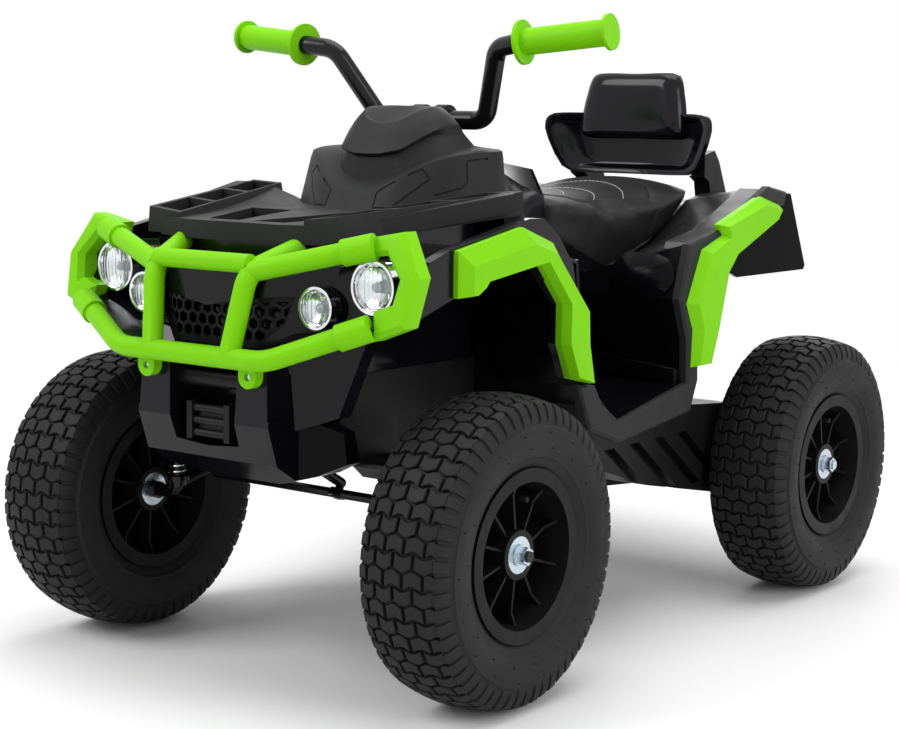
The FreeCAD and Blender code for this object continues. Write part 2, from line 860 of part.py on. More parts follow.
# Front spindle: a kingpin bent into the stub axle, with its head, its collar and its steering arm
def make_spindle():
    collar_end = wheel_x - hub_half - seat_clearance
    tip = wheel_x + hub_half + axle_thread_length
    top = tube_top_z + seat_clearance
    crown = V(kingpin_x, front_y, top)
    pin = tube(
        [crown, V(kingpin_x, front_y, axle_z), V(collar_end, front_y, axle_z)], kingpin_bend, kingpin_radius)
    collar = rod(V(collar_end - axle_collar_radius, front_y, axle_z), V(collar_end, front_y, axle_z),
                 axle_collar_radius)
    stub = rod(V(collar_end, front_y, axle_z), V(tip, front_y, axle_z), axle_radius)
    head = rod(crown, crown + V(0, 0, kingpin_head_height), kingpin_head_radius)
    perch = V(kingpin_x, front_y, perch_low_z)
    stop = rod(perch - V(0, 0, kingpin_collar_height), perch, axle_collar_radius)
    eye_low = V(kingpin_x, tie_rod_y, eye_low_z)
    eye_top = V(kingpin_x, tie_rod_y, eye_top_z)
    middle = (eye_low + eye_top) * 0.5
    root = V(steering_arm_x, front_y, axle_z)
    reach = (middle - root).normalize()
    arm = rod(root, middle - reach * steering_eye_radius / 2, steering_arm_radius)
    arm = arm.common(block(0, tip, front_y, 0, 0, eye_top_z))
    eye = rod(eye_low, eye_top, steering_eye_radius)
    hole = rod(eye_low - V(0, 0, overrun), eye_top + V(0, 0, overrun), tie_pin_radius + arm_hole_clearance)
    below = block(0, kingpin_x + steering_eye_radius, tie_rod_y - steering_eye_radius, 0, 0, eye_low_z)
    return fused(pin, collar, stub, head, stop, arm.cut(below), eye).cut(hole)


# Lower spring seat, which slides with the kingpin
def make_perch():
    low = V(kingpin_x, front_y, perch_low_z + running_clearance)
    top = V(kingpin_x, front_y, perch_low_z + perch_thickness)
    ring = sleeve(low, top, perch_radius, kingpin_radius + running_clearance)
    rim = sleeve(top, top + V(0, 0, perch_rim), perch_radius, perch_radius - perch_rim)
    return fused(ring, rim)


# One arc that leaves a point along a direction and ends at another point
def tangent_arc(start, direction, end):
    chord = end - start
    half = direction.getAngle(chord)
    side = (direction - chord.normalize() * math.cos(half)).normalize()
    middle = (start + end) * 0.5 + side * ((end - start).Length / 2 * math.tan(half / 2))
    return Part.Arc(start, middle, end).toShape()


# Coil spring wound on biarcs of a quarter turn
def make_spring():
    low = perch_low_z + perch_thickness + spring_wire_radius + seat_clearance
    high = spring_top_z - spring_wire_radius - seat_clearance
    quarters = spring_turns * 4
    rise = (high - low) / quarters
    ends = []
    for i in range(quarters + 1):
        turn = i * math.pi / 2
        spot = V(math.cos(turn), math.sin(turn), 0) * spring_mean_radius
        along = V(-math.sin(turn), math.cos(turn), 0) * (spring_mean_radius * math.pi / 2) + V(0, 0, rise)
        ends.append((spot + V(kingpin_x, front_y, low + i * rise), along.normalize()))
    edges = []
    for (p0, t0), (p1, t1) in zip(ends, ends[1:]):
        v, t, c = p1 - p0, t0 + t1, 2 - 2 * t0.dot(t1)
        d = (math.sqrt(v.dot(t) ** 2 + c * v.dot(v)) - v.dot(t)) / c
        joint = (p0 + t0 * d + p1 - t1 * d) * 0.5
        edges.append(tangent_arc(p0, t0, joint))
        edges.append(tangent_arc(p1, -t1, joint))
    ring = Part.Wire(Part.makeCircle(spring_wire_radius, ends[0][0], ends[0][1]))
    pitch = 4 * rise
    gaps = [(a[0] - b[0]).Length for a, b in zip(ends, ends[4:])]
    print("spring pitch %.2f, least gap between turns %.2f" % (pitch, min(gaps) - 2 * spring_wire_radius))
    return Part.Wire(Part.__sortEdges__(edges)).makePipeShell([ring], True, False)


# Front axle plate with its two kingpin tubes
def make_beam():
    half = place(beam_shares, (0, front_y - beam_front_share * beam_depth), (beam_half_length, beam_depth))
    plate = plan_prism(both(half), beam_low_z, beam_top_z)
    bush = kingpin_radius + running_clearance + kingpin_bush_wall
    tubes = []
    bores = []
    for x in (-kingpin_x, kingpin_x):
        low = V(x, front_y, spring_top_z)
        top = V(x, front_y, tube_top_z)
        tubes.append(rod(low, top, beam_tube_radius))
        bores.append(rod(low, top, bush))
    return fused(plate, *tubes).cut(bores + [lower_bush_outside()])


def lower_bush_outside():
    middle = (beam_low_z + beam_top_z) / 2
    station = (middle - column_foot.z) / column_axis.z
    return bush_outside(station)


def bush_outside(station):
    centre = column_foot + column_axis * station
    reach = column_axis * (column_bush_length / 2)
    return rod(centre - reach, centre + reach, column_radius + running_clearance + column_bush_wall)


def make_bushes():
    bushes = []
    outer = kingpin_radius + running_clearance + kingpin_bush_wall
    for x in (-kingpin_x, kingpin_x):
        low = V(x, front_y, spring_top_z)
        top = V(x, front_y, tube_top_z)
        bushes.append(sleeve(low, top, outer, kingpin_radius + running_clearance))
    shaft = rod(column_foot, bar_centre, column_radius + running_clearance)
    for outside in (lower_bush_outside(), bush_outside(upper_bush_station)):
        bushes.append(outside.cut(shaft))
    return Part.makeCompound(bushes)


# Steering column with its crank below and the saddle of the handlebar on top
def make_column():
    low = column_foot + column_axis * crank_rise
    top = column_foot + column_axis * column_length
    shaft = rod(low - column_axis * column_radius, top, column_radius)
    pin_top = tie_rod_centre + column_axis * crank_rise
    arm = rod(low, pin_top, crank_radius)
    pin = rod(tie_rod_centre - column_axis * crank_pin_tail, pin_top, crank_pin_radius)
    knuckle = Part.makeSphere(crank_radius, pin_top)
    saddle = block(-saddle_half, saddle_half, -saddle_depth / 2, saddle_depth / 2, -saddle_height, 0)
    saddle.rotate(V(0, 0, 0), V(1, 0, 0), -column_rake)
    saddle.translate(bar_centre)
    return fused(shaft, arm, pin, knuckle, saddle).cut(make_handlebar())


def make_tie_rod():
    eye = rod(tie_rod_centre - column_axis * (tie_rod_eye_height / 2),
              tie_rod_centre + column_axis * (tie_rod_eye_height / 2), tie_rod_eye_radius)
    bore = rod(tie_rod_centre - column_axis * overrun, tie_rod_centre + column_axis * overrun,
               crank_pin_radius + running_clearance)
    pieces = [rod(V(-kingpin_x, tie_rod_y, tie_rod_z), V(kingpin_x, tie_rod_y, tie_rod_z), tie_rod_radius)]
    for x in (-kingpin_x, kingpin_x):
        end = V(x, tie_rod_y, tie_rod_z)
        pieces.append(Part.makeSphere(tie_rod_radius, end))
        pieces.append(rod(end, end + V(0, 0, tie_pin_height), tie_pin_radius))
    return fused(eye, *pieces).cut(bore)


# Half of the handlebar's line, from its low straight part out to the grip's end
def bar_line():
    return [
        bar_centre + V(bar_low_x, 0, 0),
        bar_centre + V(bar_rise_x, -bar_rise_back, bar_rise_height),
        bar_centre + V(bar_grip_x, -bar_grip_back, bar_grip_height),
        bar_centre + V(bar_half_width, -bar_end_back, bar_end_height),
    ]


def make_handlebar():
    left = bar_line()
    right = [V(-point.x, point.y, point.z) for point in left]
    return tube(right[::-1] + left, bar_bend, bar_radius)


# The caps that hold the handlebar on its saddle
def make_clamps():
    outer = bar_radius + clamp_wall
    caps = []
    for x in (-clamp_x, clamp_x):
        cap = block(x - clamp_width / 2, x + clamp_width / 2, -saddle_depth / 2, saddle_depth / 2, 0, outer)
        crown = rod(V(x - clamp_width / 2, 0, 0), V(x + clamp_width / 2, 0, 0), outer)
        cap = cap.common(crown)
        cap.rotate(V(0, 0, 0), V(1, 0, 0), -column_rake)
        cap.translate(bar_centre)
        caps.append(cap.cut(make_handlebar()))
    return Part.makeCompound(caps)


# Left grip: a sleeve with two flanges, closed at its outer end
def make_grip():
    inner, outer = bar_line()[2:]
    along = (outer - inner).normalize()
    start = inner + along * grip_flange_thickness
    end = outer + along * grip_end_wall
    body = rod(start, end, grip_radius)
    inside = rod(start, start + along * grip_flange_thickness, grip_inner_flange_radius)
    outside = rod(end - along * grip_flange_thickness, end, grip_outer_flange_radius)
    return fused(body, inside, outside).cut(make_handlebar())


# The profile of the rear gearbox, round the axle and round the motor
def make_gearbox():
    axle = V(spine_half, rear_y, axle_z)
    motor = V(spine_half, rear_y - motor_forward, axle_z + motor_rise)
    depth = V(gearbox_outer_x - spine_half, 0, 0)
    low = rod(axle, axle + depth, gearbox_radius)
    high = rod(motor, motor + depth, gearbox_motor_radius)
    across = (motor - axle).normalize()
    normal = V(0, -across.z, across.y)
    corners = [
        axle + normal * gearbox_radius, motor + normal * gearbox_motor_radius,
        motor - normal * gearbox_motor_radius, axle - normal * gearbox_radius,
    ]
    link = Part.Face(polygon(corners)).extrude(depth)
    boss = rod(axle, V(gearbox_boss_x, rear_y, axle_z), gearbox_boss_radius)
    return fused(low, high, link, boss).cut(make_rear_axle())


def make_motor():
    y, z = rear_y - motor_forward, axle_z + motor_rise
    return rod(V(gearbox_outer_x, y, z), V(motor_end_x, y, z), motor_radius)


def make_rear_axle():
    tip = wheel_x + hub_half + axle_thread_length
    shaft = rod(V(-tip, rear_y, axle_z), V(tip, rear_y, axle_z), axle_radius)
    stop = wheel_x - hub_half - seat_clearance
    spacer = rod(V(gearbox_boss_x, rear_y, axle_z), V(stop, rear_y, axle_z), axle_collar_radius)
    return fused(shaft, spacer, mirrored(spacer))


def battery_box(gap, headroom):
    return block(
        -battery_width / 2 - gap, battery_width / 2 + gap, battery_y - battery_length / 2 - gap,
        battery_y + battery_length / 2 + gap, battery_low_z, battery_low_z + battery_height + headroom,
    )


def make_battery():
    top = battery_low_z + battery_height
    case = battery_box(0, 0)
    posts = []
    for x in (-battery_width / 4, battery_width / 4):
        foot = V(x, battery_y - battery_length / 4, top)
        posts.append(rod(foot, foot + V(0, 0, terminal_height), terminal_radius))
    return fused(case, *posts)


def footwell_line():
    return place(footwell_shares, (footwell_front_y, footwell_low_z), (footwell_length, footwell_height))


# The tub: a spine between the axles, with a ribbed running board on each side
def make_chassis():
    line = place(spine_shares, (spine_front_y, spine_low_z), (spine_length, spine_height))
    spine = side_prism(line, -spine_half, spine_half)
    outline = place(board_shares, (board_front_y, board_low_z), (board_length, board_height))
    board = side_prism(outline, spine_half, board_half)
    over_tray = strip(footwell_line(), tray_wall)[len(footwell_shares):]
    board = board.cut(side_prism(over_tray, spine_half, tray_half))
    slots = []
    for i in range(board_ribs):
        y = board_slot_front_y + i * board_slot_step
        top = board_slot_low_z + board_slot_height
        foot = y + board_slot_lean
        slot = [
            (y, top), (y + board_slot_width, top), (foot + board_slot_width, board_slot_low_z),
            (foot, board_slot_low_z),
        ]
        slots.append(side_prism(slot, board_half - board_slot_depth, board_half + overrun))
    board = board.cut(slots)
    shaft = rod(column_foot, bar_centre, column_radius + column_bush_wall + running_clearance)
    whole = fused(spine, board, mirrored(board))
    return trimmed(whole, battery_box(battery_clearance, overrun), shaft, make_rear_axle(), make_beam())


# Footwell trays on both sides of the tunnel that carries the tank and the seat
def make_footwell_tub(seat):
    tray = side_prism(strip(footwell_line(), tray_wall), tunnel_half - tunnel_wall, tray_half)
    under = [(row[0], row[4]) for row in seat_shares[:-1]]
    seat_line = place(under, (seat_front_y, seat_low_z + tunnel_lap), (seat_length, seat_height))
    wall_line = [
        (seat_line[-1][0], spine_deck_z), (tunnel_front_y, spine_deck_z),
        (tunnel_front_y, tunnel_shoulder_z), (seat_front_y, tunnel_shoulder_z),
    ]
    wall_line += seat_line[1:]
    wall = side_prism(wall_line, tunnel_half - tunnel_wall, tunnel_half)
    webs = []
    for y in (tunnel_front_y, seat_front_y + seat_length / 2):
        web_top = seat_low_z + tunnel_lap
        webs.append(block(-tunnel_half, tunnel_half, y, y + tunnel_wall, spine_deck_z, web_top))
    shaft = rod(column_foot, bar_centre, column_radius + column_bush_wall)
    lid = block(-tunnel_half, tunnel_half, tunnel_front_y, seat_front_y + overrun,
                tunnel_shoulder_z - tunnel_wall, tunnel_shoulder_z)
    brow = footwell_low_z + footwell_height
    slope = front_prism(
        [(0, seat_low_z), (tunnel_half, seat_low_z), (tray_half, brow), (tray_half, brow + overrun),
         (0, brow + overrun)],
        seat_front_y + overrun, seat_front_y + seat_length)
    tray = tray.cut(slope)
    tub = fused(tray, mirrored(tray), wall, mirrored(wall), lid, *webs)
    return trimmed(tub, seat, shaft, battery_box(battery_clearance, overrun))


# A moulded plate whose outer face is drawn in by a bevel
def bevelled_plate(points, inner_x, outer_x, bevel):
    return ruled([
        on_side(points, inner_x), on_side(points, outer_x - bevel), on_side(inset(points, bevel), outer_x),
    ])


def make_footwell_frame(flares):
    points = place(frame_shares, (frame_front_y, frame_low_z), (frame_length, frame_height))
    return trimmed(bevelled_plate(points, frame_inner_x, frame_outer_x, frame_bevel), *flares)


# Left flare: its brow leans in from the wall line to the crest
def make_flare(shares, crest_shares, start, size):
    base = place(shares, start, size)
    crest = place(crest_shares, start, size)
    return ruled([on_side(base, flare_inner_x), on_side(base, flare_brow_x), on_side(crest, flare_outer_x)])


def make_front_flare():
    return make_flare(
        front_flare_shares, front_flare_crest_shares, (front_flare_y, front_flare_z),
        (front_flare_length, front_flare_height))


def make_rear_flare():
    return make_flare(
        rear_flare_shares, rear_flare_crest_shares, (rear_flare_y, rear_flare_z),
        (rear_flare_length, rear_flare_height))


# Front fender body: a skin over both wheels, the rims behind the flares, and the hood box under the deck
def make_front_body(neighbours):
    line = place(skin_shares, (skin_front_y, skin_low_z), (skin_length, skin_height))
    skin = side_prism(strip(line, fender_wall), -fender_half, fender_half)
    rim_size = (fender_rim_length, fender_rim_height)
    rim_line = place(fender_rim_shares, (fender_rim_y, fender_rim_z), rim_size)
    rim = side_prism(rim_line, fender_rim_x, fender_half)
    hood = [
        (hood_front_y, spine_low_z + spine_height), (hood_rear_y, spine_low_z + spine_height),
        (hood_rear_y, hood_top_z), (hood_front_y, hood_top_z),
    ]
    wall = side_prism(hood, hood_half - fender_wall, hood_half)
    front = block(-hood_half, hood_half, hood_front_y, hood_front_y + fender_wall,
                  spine_low_z + spine_height, hood_top_z)
    body = fused(skin, rim, mirrored(rim), wall, mirrored(wall), front)
    above = deck_slab(spine_height)
    shaft = rod(column_foot, bar_centre, column_radius + running_clearance)
    return trimmed(body, above, shaft, bush_outside(upper_bush_station), *neighbours)


# The deck's slab: flat at its front lip, with a valley between two wings at the cowl
def deck_slab(thickness):
    low = [(deck_half, 0), (deck_wing_root_x, 0), (deck_valley_x, 0)]
    high = [
        (deck_half, deck_wing_rise), (deck_wing_root_x, deck_wing_rise), (deck_valley_x, deck_valley_rise),
    ]
    sections = []
    for half, y in ((low, deck_front_y), (high, deck_front_y + deck_length)):
        under = half + [(-x, z) for x, z in reversed(half)]
        outline = under + [(x, z + thickness) for x, z in reversed(under)]
        sections.append(on_front([(x, z + deck_low_z) for x, z in outline], y))
    return ruled(sections)


# The room of a rail's pockets, before its cross walls divide it
def rail_room():
    sections = []
    for x, y, top in (
        (rail_front_x, rail_front_y, rail_front_z + rail_front_height),
        (rail_rear_x, rail_rear_y, rail_rear_z + rail_rear_height),
    ):
        near, far = x + rail_wall, x + rail_width - rail_wall
        floor, roof = top - rail_pocket_depth, top + overrun
        sections.append(on_front([(near, floor), (far, floor), (far, roof), (near, roof)], y))
    return ruled(sections)


# Deck with raised wings, a splayed rail with pockets on each wing and a shallow tray beside each rail
def make_deck(neighbours):
    plan = plan_prism(both(place(deck_shares, (0, deck_front_y), (deck_half, deck_length))),
                      deck_low_z - overrun, deck_low_z + deck_thickness + deck_wing_rise + overrun)
    deck = deck_slab(deck_thickness).common(plan)
    front = place(rail_front_shares, (rail_front_x, rail_front_z), (rail_width, rail_front_height))
    rear = place(rail_rear_shares, (rail_rear_x, rail_rear_z), (rail_width, rail_rear_height))
    rail = ruled([on_front(front, rail_front_y), on_front(rear, rail_rear_y)])
    pitch = (rail_rear_y - rail_front_y - rail_wall) / rail_pockets
    roof = rail_rear_z + rail_rear_height + overrun
    room = rail_room()
    cuts = []
    for i in range(rail_pockets):
        near = rail_front_y + rail_wall + i * pitch
        cuts.append(room.common(block(0, deck_half, near, near + pitch - rail_wall, deck_low_z, roof)))
    tray = [
        (tray_inner_x, tray_front_y), (tray_outer_x, tray_front_y),
        (tray_outer_x + tray_outer_splay, tray_front_y + tray_length),
        (tray_inner_x + tray_inner_splay, tray_front_y + tray_length),
    ]
    cuts.append(plan_prism(tray, deck_low_z + deck_thickness - tray_depth, roof))
    cuts += [mirrored(cut) for cut in cuts]
    return trimmed(fused(deck, rail, mirrored(rail)), *cuts, *neighbours)


def rings(table, gap):
    sections = []
    for height, steps, shares in table:
        outline = both(place(shares, (0, dome_front_y), (dome_half, dome_length)))
        z = cowl_low_z + height * dome_height
        sections.append(on_plan(inset(outline, gap), z + steps * gap))
    return sections


# The collar's top edge rises from the front towards the pods
def collar(gap):
    size = (cowl_half, cowl_length)
    low = inset(both(place(collar_low_shares, (0, cowl_front_y), size)), gap)
    top = inset(both(place(collar_top_shares, (0, cowl_front_y), size)), gap)
    body = ruled([on_plan(low, cowl_low_z - gap), on_plan(top, cowl_low_z + collar_height - gap)])
    rear = cowl_front_y + cowl_length + overrun
    crest_y = cowl_front_y + (cowl_low_z + collar_height - collar_front_z) / collar_front_slope
    side = [
        (cowl_front_y - overrun, cowl_low_z - overrun), (rear, cowl_low_z - overrun),
        (rear, cowl_low_z + collar_height - gap), (crest_y, cowl_low_z + collar_height - gap),
        (cowl_front_y, collar_front_z - gap), (cowl_front_y - overrun, collar_front_z - gap),
    ]
    return body.common(side_prism(side, -cowl_half, cowl_half))


def smooth(sections):
    return Part.makeLoft([polygon(section) for section in sections], True, False)


# Steering cowl: a collar on the deck, a chin with visor facets and a dome, hollow, slotted for the column
def make_cowl():
    outside = fused(collar(0), ruled(rings(chin_shares, 0)), smooth(rings(dome_shares, 0)))
    chin = ruled(rings(chin_shares, cowl_wall))
    dome = smooth(rings(dome_shares, cowl_wall))
    slot = block(-cowl_slot_half, cowl_slot_half, cowl_slot_front_y, cowl_front_y + cowl_length + overrun,
                 cowl_low_z - overrun, cowl_slot_top_z)
    vents = []
    for side in (-1, 1):
        size = (2 * vent_half_width, 2 * vent_half_height)
        outline = place(vent_shares, (-vent_half_width, -vent_half_height), size)
        points = [(side * a, b) for a, b in outline]
        vent = front_prism(points, -overrun, vent_depth)
        vent.rotate(V(0, 0, 0), V(1, 0, 0), -vent_tilt)
        vent.rotate(V(0, 0, 0), V(0, 0, 1), side * vent_turn)
        vent.translate(V(side * vent_x, vent_y, vent_z))
        vents.append(vent)
    return trimmed(outside, collar(cowl_wall), chin, dome, slot, *vents)


def tank_sections(gap, drop):
    sections = []
    for along, shares in tank_shares:
        half = place(shares, (0, tank_low_z), (tank_half, tank_height))
        outline = half + [(-a, b) for a, b in half[:0:-1]]
        outline = inset(outline, gap) if gap else outline
        sections.append([V(x, tank_front_y + along * tank_length, z - drop) for x, z in outline])
    return sections


# Tank cover with the control console behind the handlebar
def make_tank():
    shell = ruled(tank_sections(0, 0))
    console = block(-console_half, console_half, console_front_y, console_front_y + console_length,
                    console_low_z, console_top_z)
    inside = ruled(tank_sections(tank_wall, 0))
    below = ruled(tank_sections(tank_wall, overrun))
    shaft = rod(column_foot, bar_centre, column_radius + column_bush_wall)
    y = console_front_y + console_length / 2
    foot = V(button_x, y, console_low_z - overrun)
    hole = rod(foot, V(button_x, y, console_top_z), button_radius + running_clearance)
    floor = console_top_z - button_flange_thickness * 2 - button_travel
    chamber = rod(foot, V(button_x, y, floor), button_flange_radius + seat_clearance)
    gap = seat_clearance
    pocket = block(switch_x - switch_length / 2 - gap, switch_x + switch_length / 2 + gap,
                   y - switch_width / 2 - gap, y + switch_width / 2 + gap,
                   console_low_z - overrun, console_top_z)
    middle = V(switch_x, y, switch_pivot_z())
    reach = V(0, switch_width, 0)
    pivot = rod(middle - reach, middle + reach, switch_pivot_radius + running_clearance)
    hollows = [inside.cut(console), below.cut(console)]
    return trimmed(fused(shell, console), *hollows, shaft, hole, chamber, pocket, pivot)


def switch_pivot_z():
    return console_top_z - switch_pivot_radius * 2


# Push button with a flange that stops it under the console's top
def make_button():
    y = console_front_y + console_length / 2
    floor = console_top_z - button_flange_thickness * 2 - button_travel
    low = V(button_x, y, floor - button_flange_thickness - seat_clearance)
    step = V(button_x, y, floor - seat_clearance)
    top = V(button_x, y, console_top_z + button_rise)
    return fused(rod(low, step, button_flange_radius), rod(step, top, button_radius))


# Rocker switch on its cross pin
def make_switch():
    y = console_front_y + console_length / 2
    z = switch_pivot_z()
    half = switch_length / 2 - switch_swing_room
    profile = [(-half, z), (half, z), (half, z + switch_rise + switch_pivot_radius), (0, z + switch_rise),
               (-half, z + switch_rise + switch_pivot_radius)]
    body = front_prism([(switch_x + a, b) for a, b in profile], y - switch_width / 2 + seat_clearance,
                       y + switch_width / 2 - seat_clearance)
    reach = V(0, switch_width - seat_clearance, 0)
    pin = rod(V(switch_x, y, z) - reach, V(switch_x, y, z) + reach, switch_pivot_radius)
    return fused(body, pin)


def lamp_places():
    return (
        (lamp_big_x, lamp_big_y, lamp_big_z, lamp_big_radius),
        (lamp_small_x, lamp_small_y, lamp_small_z, lamp_small_radius),
    )


# The room that the lamps take, for the panels beside them
def lamp_rooms():
    rooms = []
    for x, y, z, radius in lamp_places():
        room = rod(V(x, y, z), V(x, lamp_housing_y, z), radius)
        rooms += [room, mirrored(room)]
    return rooms


def make_bezels():
    solids = []
    for x, y, z, radius in lamp_places():
        front = V(x, y, z)
        cup = rod(front, front + V(0, lamp_depth, 0), radius)
        mouth = rod(front, front + V(0, lens_recess + lens_thickness, 0), radius - lamp_wall)
        hollow = rod(front, front + V(0, lamp_cup_depth, 0), radius - 2 * lamp_wall)
        solids.append(cup.cut([mouth, hollow]))
    return Part.makeCompound(solids + [mirrored(solid) for solid in solids])


def make_lenses():
    solids = []
    for x, y, z, radius in lamp_places():
        edge = radius - lamp_wall - running_clearance
        crest = y + lens_recess - lens_crown
        ball = (edge ** 2 + lens_crown ** 2) / (2 * lens_crown)
        disc = rod(V(x, crest - lens_crown, z), V(x, y + lens_recess + lens_thickness, z), edge)
        solids.append(disc.common(Part.makeSphere(ball, V(x, crest + ball, z))))
    return Part.makeCompound(solids + [mirrored(solid) for solid in solids])


def grille_outline():
    half = place(grille_shares, (0, grille_low_z), (grille_half, grille_height))
    return half + [(-a, b) for a, b in half[-2:0:-1]]


# The nose's front seen from above: half of its sweep, from the middle out to the fender
def nose_line():
    return place(nose_plan_shares, (0, nose_front_y), (nose_half, nose_depth))


# Honeycomb grille, which follows the nose's sweep
def make_grille():
    front = nose_front_y - overrun
    rear = nose_front_y + nose_depth
    outline = grille_outline()
    half = [(x, y + grille_recess) for x, y in nose_line()[:3]]
    line = [(-x, y) for x, y in half[:0:-1]] + half
    top = grille_low_z + grille_height + overrun
    sheet = plan_prism(strip(line, -grille_thickness), grille_low_z - overrun, top)
    plate = front_prism(outline, front, rear).common(sheet)
    cells = []
    rise = grille_pitch * math.sqrt(3) / 2
    for row in range(grille_rows):
        for column in range(grille_columns):
            shift = (column - (grille_columns - 1) / 2 + (row % 2) / 2) * grille_pitch
            z = grille_low_z + grille_rim + grille_cell + row * rise
            turns = [math.radians(60 * i) for i in range(6)]
            cell = [(shift + grille_cell * math.sin(a), z + grille_cell * math.cos(a)) for a in turns]
            cells.append(front_prism(cell, front, rear))
    opening = front_prism(inset(outline, grille_rim), front, rear)
    return plate.cut(Part.makeCompound(cells).common(opening))


# Nose panel: its outline from the front, swept back towards both sides, with a beak and the lamp housings
def make_nose(neighbours):
    outline = both(place(nose_shares, (0, nose_low_z), (nose_half, nose_height)))
    front = nose_front_y - overrun
    rear = nose_front_y + nose_depth + overrun
    half = nose_line()
    sweep = half + [(-x, y) for x, y in half[-2:0:-1]]
    curve = plan_prism(sweep, nose_low_z, nose_low_z + nose_height)
    panel = front_prism(outline, front, rear).common(curve)
    beak = front_prism(
        both(place(beak_shares, (0, beak_low_z), (beak_half, beak_height))), nose_front_y - beak_reach,
        nose_front_y + beak_reach)
    housings = []
    for x, y, z, radius in lamp_places():
        housing = rod(V(x, y + lamp_depth, z), V(x, lamp_housing_y, z), radius - lamp_housing_wall)
        housings += [housing, mirrored(housing)]
    opening = front_prism(grille_outline(), front, rear)
    return trimmed(fused(panel.cut(opening), beak, *housings), *neighbours)


# The space in front of the nose panel, which the fender skin stays out of
def front_of_nose():
    line = nose_line()[:4]
    edge = nose_front_y - nose_depth
    outline = [(nose_half, edge)] + line[::-1] + [(-x, y) for x, y in line[1:]] + [(-nose_half, edge)]
    return plan_prism(outline, nose_low_z, nose_low_z + nose_height)


# Fascia: two legs, the chin between them and a block at each side
def make_fascia(neighbours):
    outline = both(place(fascia_shares, (0, fascia_low_z), (fascia_half, fascia_height)))
    rear = fascia_front_y + fascia_depth
    side = place(fascia_side_shares, (fascia_front_y, fascia_low_z), (fascia_depth, fascia_height))
    body = front_prism(outline, fascia_front_y, rear).common(side_prism(side, -fascia_half, fascia_half))
    recess_y = fascia_front_y + fascia_block_recess
    swept_y = recess_y + fascia_block_sweep
    step = plan_prism(
        [
            (fascia_block_x, fascia_front_y - overrun), (fascia_half + overrun, fascia_front_y - overrun),
            (fascia_half + overrun, swept_y), (fascia_half, swept_y), (fascia_block_x, recess_y),
        ],
        fascia_low_z - overrun, fascia_low_z + fascia_height + overrun,
    )
    back = block(-fascia_back_half, fascia_back_half, fascia_back_y, fascia_back_y + fascia_wall,
                 fascia_low_z + fascia_height * fascia_window_share, fascia_low_z + fascia_height)
    return trimmed(fused(body, back), step, mirrored(step), *neighbours)


# Dummy winch: a roller between the legs and a fairlead on the back wall
def make_winch():
    inner = fascia_half * fascia_shares[2][0]
    roller = rod(V(-inner, winch_roller_y, winch_roller_z), V(inner, winch_roller_y, winch_roller_z),
                 winch_roller_radius)
    rear = fairlead_front_y + fairlead_depth
    top = fairlead_low_z + fairlead_height
    pieces = []
    for side in (-1, 1):
        x0, x1 = sorted((side * fairlead_half, side * (fairlead_half - fairlead_post)))
        pieces.append(block(x0, x1, fairlead_front_y, rear, fairlead_low_z, top))
    for i in range(fairlead_bars):
        z = fairlead_low_z + (i + 0.5) * fairlead_height / fairlead_bars
        y = fairlead_front_y + fairlead_depth / 2
        reach = fairlead_half - fairlead_post / 2
        pieces.append(rod(V(-reach, y, z), V(reach, y, z), fairlead_bar_radius))
    neck = block(-fairlead_neck_half, fairlead_neck_half, rear - fairlead_bar_radius, fascia_back_y,
                 fairlead_low_z + fairlead_post, top - fairlead_post)
    return Part.makeCompound([roller, fused(neck, *pieces)])


# Bull bar: round tubes that end in sleeves and a chunky block at each corner
def make_bull_bar():
    low = tube(
        [
            V(-bull_low_end_x, bull_low_end_y, bull_low_end_z), V(-bull_low_bend_x, bull_low_y, bull_low_z),
            V(bull_low_bend_x, bull_low_y, bull_low_z), V(bull_low_end_x, bull_low_end_y, bull_low_end_z),
        ],
        bull_bend * 2, bull_tube_radius,
    )
    cross = rod(V(-bull_knee_x, bull_cross_y, bull_cross_z), V(bull_knee_x, bull_cross_y, bull_cross_z),
                bull_cross_radius)
    upright = tube(
        [
            V(bull_foot_x, bull_low_y, bull_low_z), V(bull_knee_x, bull_knee_y, bull_knee_z),
            V(bull_top_x, bull_top_y, bull_top_z),
        ],
        bull_bend, bull_tube_radius,
    )
    high_end = V(bull_high_end_x, bull_high_end_y, bull_high_end_z)
    knee = V(bull_knee_x, bull_cross_y, bull_knee_z)
    high = rod(knee, high_end, bull_tube_radius)
    low_end = V(bull_low_end_x, bull_low_end_y, bull_low_end_z)
    sleeves = []
    for end, start in ((high_end, knee), (low_end, V(bull_low_bend_x, bull_low_y, bull_low_z))):
        sleeves.append(rod(end, end + (start - end).normalize() * bull_sleeve_length, bull_sleeve_radius))
    outline = place(bull_block_shares, (bull_block_x, bull_block_z), (bull_block_width, bull_block_height))
    face = inset(outline, bull_block_bevel)

    def swept(points, y):
        return [V(x, y + bull_block_lean * (z - bull_block_z) / bull_block_height, z) for x, z in points]

    rear = bull_block_front_y + bull_block_depth
    corner = ruled([
        swept(face, bull_block_front_y), swept(outline, bull_block_front_y + bull_block_bevel),
        swept(outline, rear),
    ])
    tab_front = fascia_face_y() - bull_tab_thickness
    tab_ends = V(bull_tab_x, tab_front, bull_tab_z), V(bull_tab_x, fascia_face_y(), bull_tab_z)
    tab = rod(*tab_ends, bull_tab_radius)
    ear = block(bull_tab_x - bull_tab_radius, bull_tab_x + bull_tab_radius, tab_front, fascia_face_y(),
                bull_tab_z, bull_low_z)
    hole = rod(*tab_ends, bull_tab_hole)
    half = fused(upright, high, corner, tab, ear, *sleeves).cut(hole)
    return fused(low, cross, half, mirrored(half))


# The front face of a fascia leg, where the bull bar's tabs are screwed on
def fascia_face_y():
    return fascia_front_y + fascia_side_shares[0][0] * fascia_depth


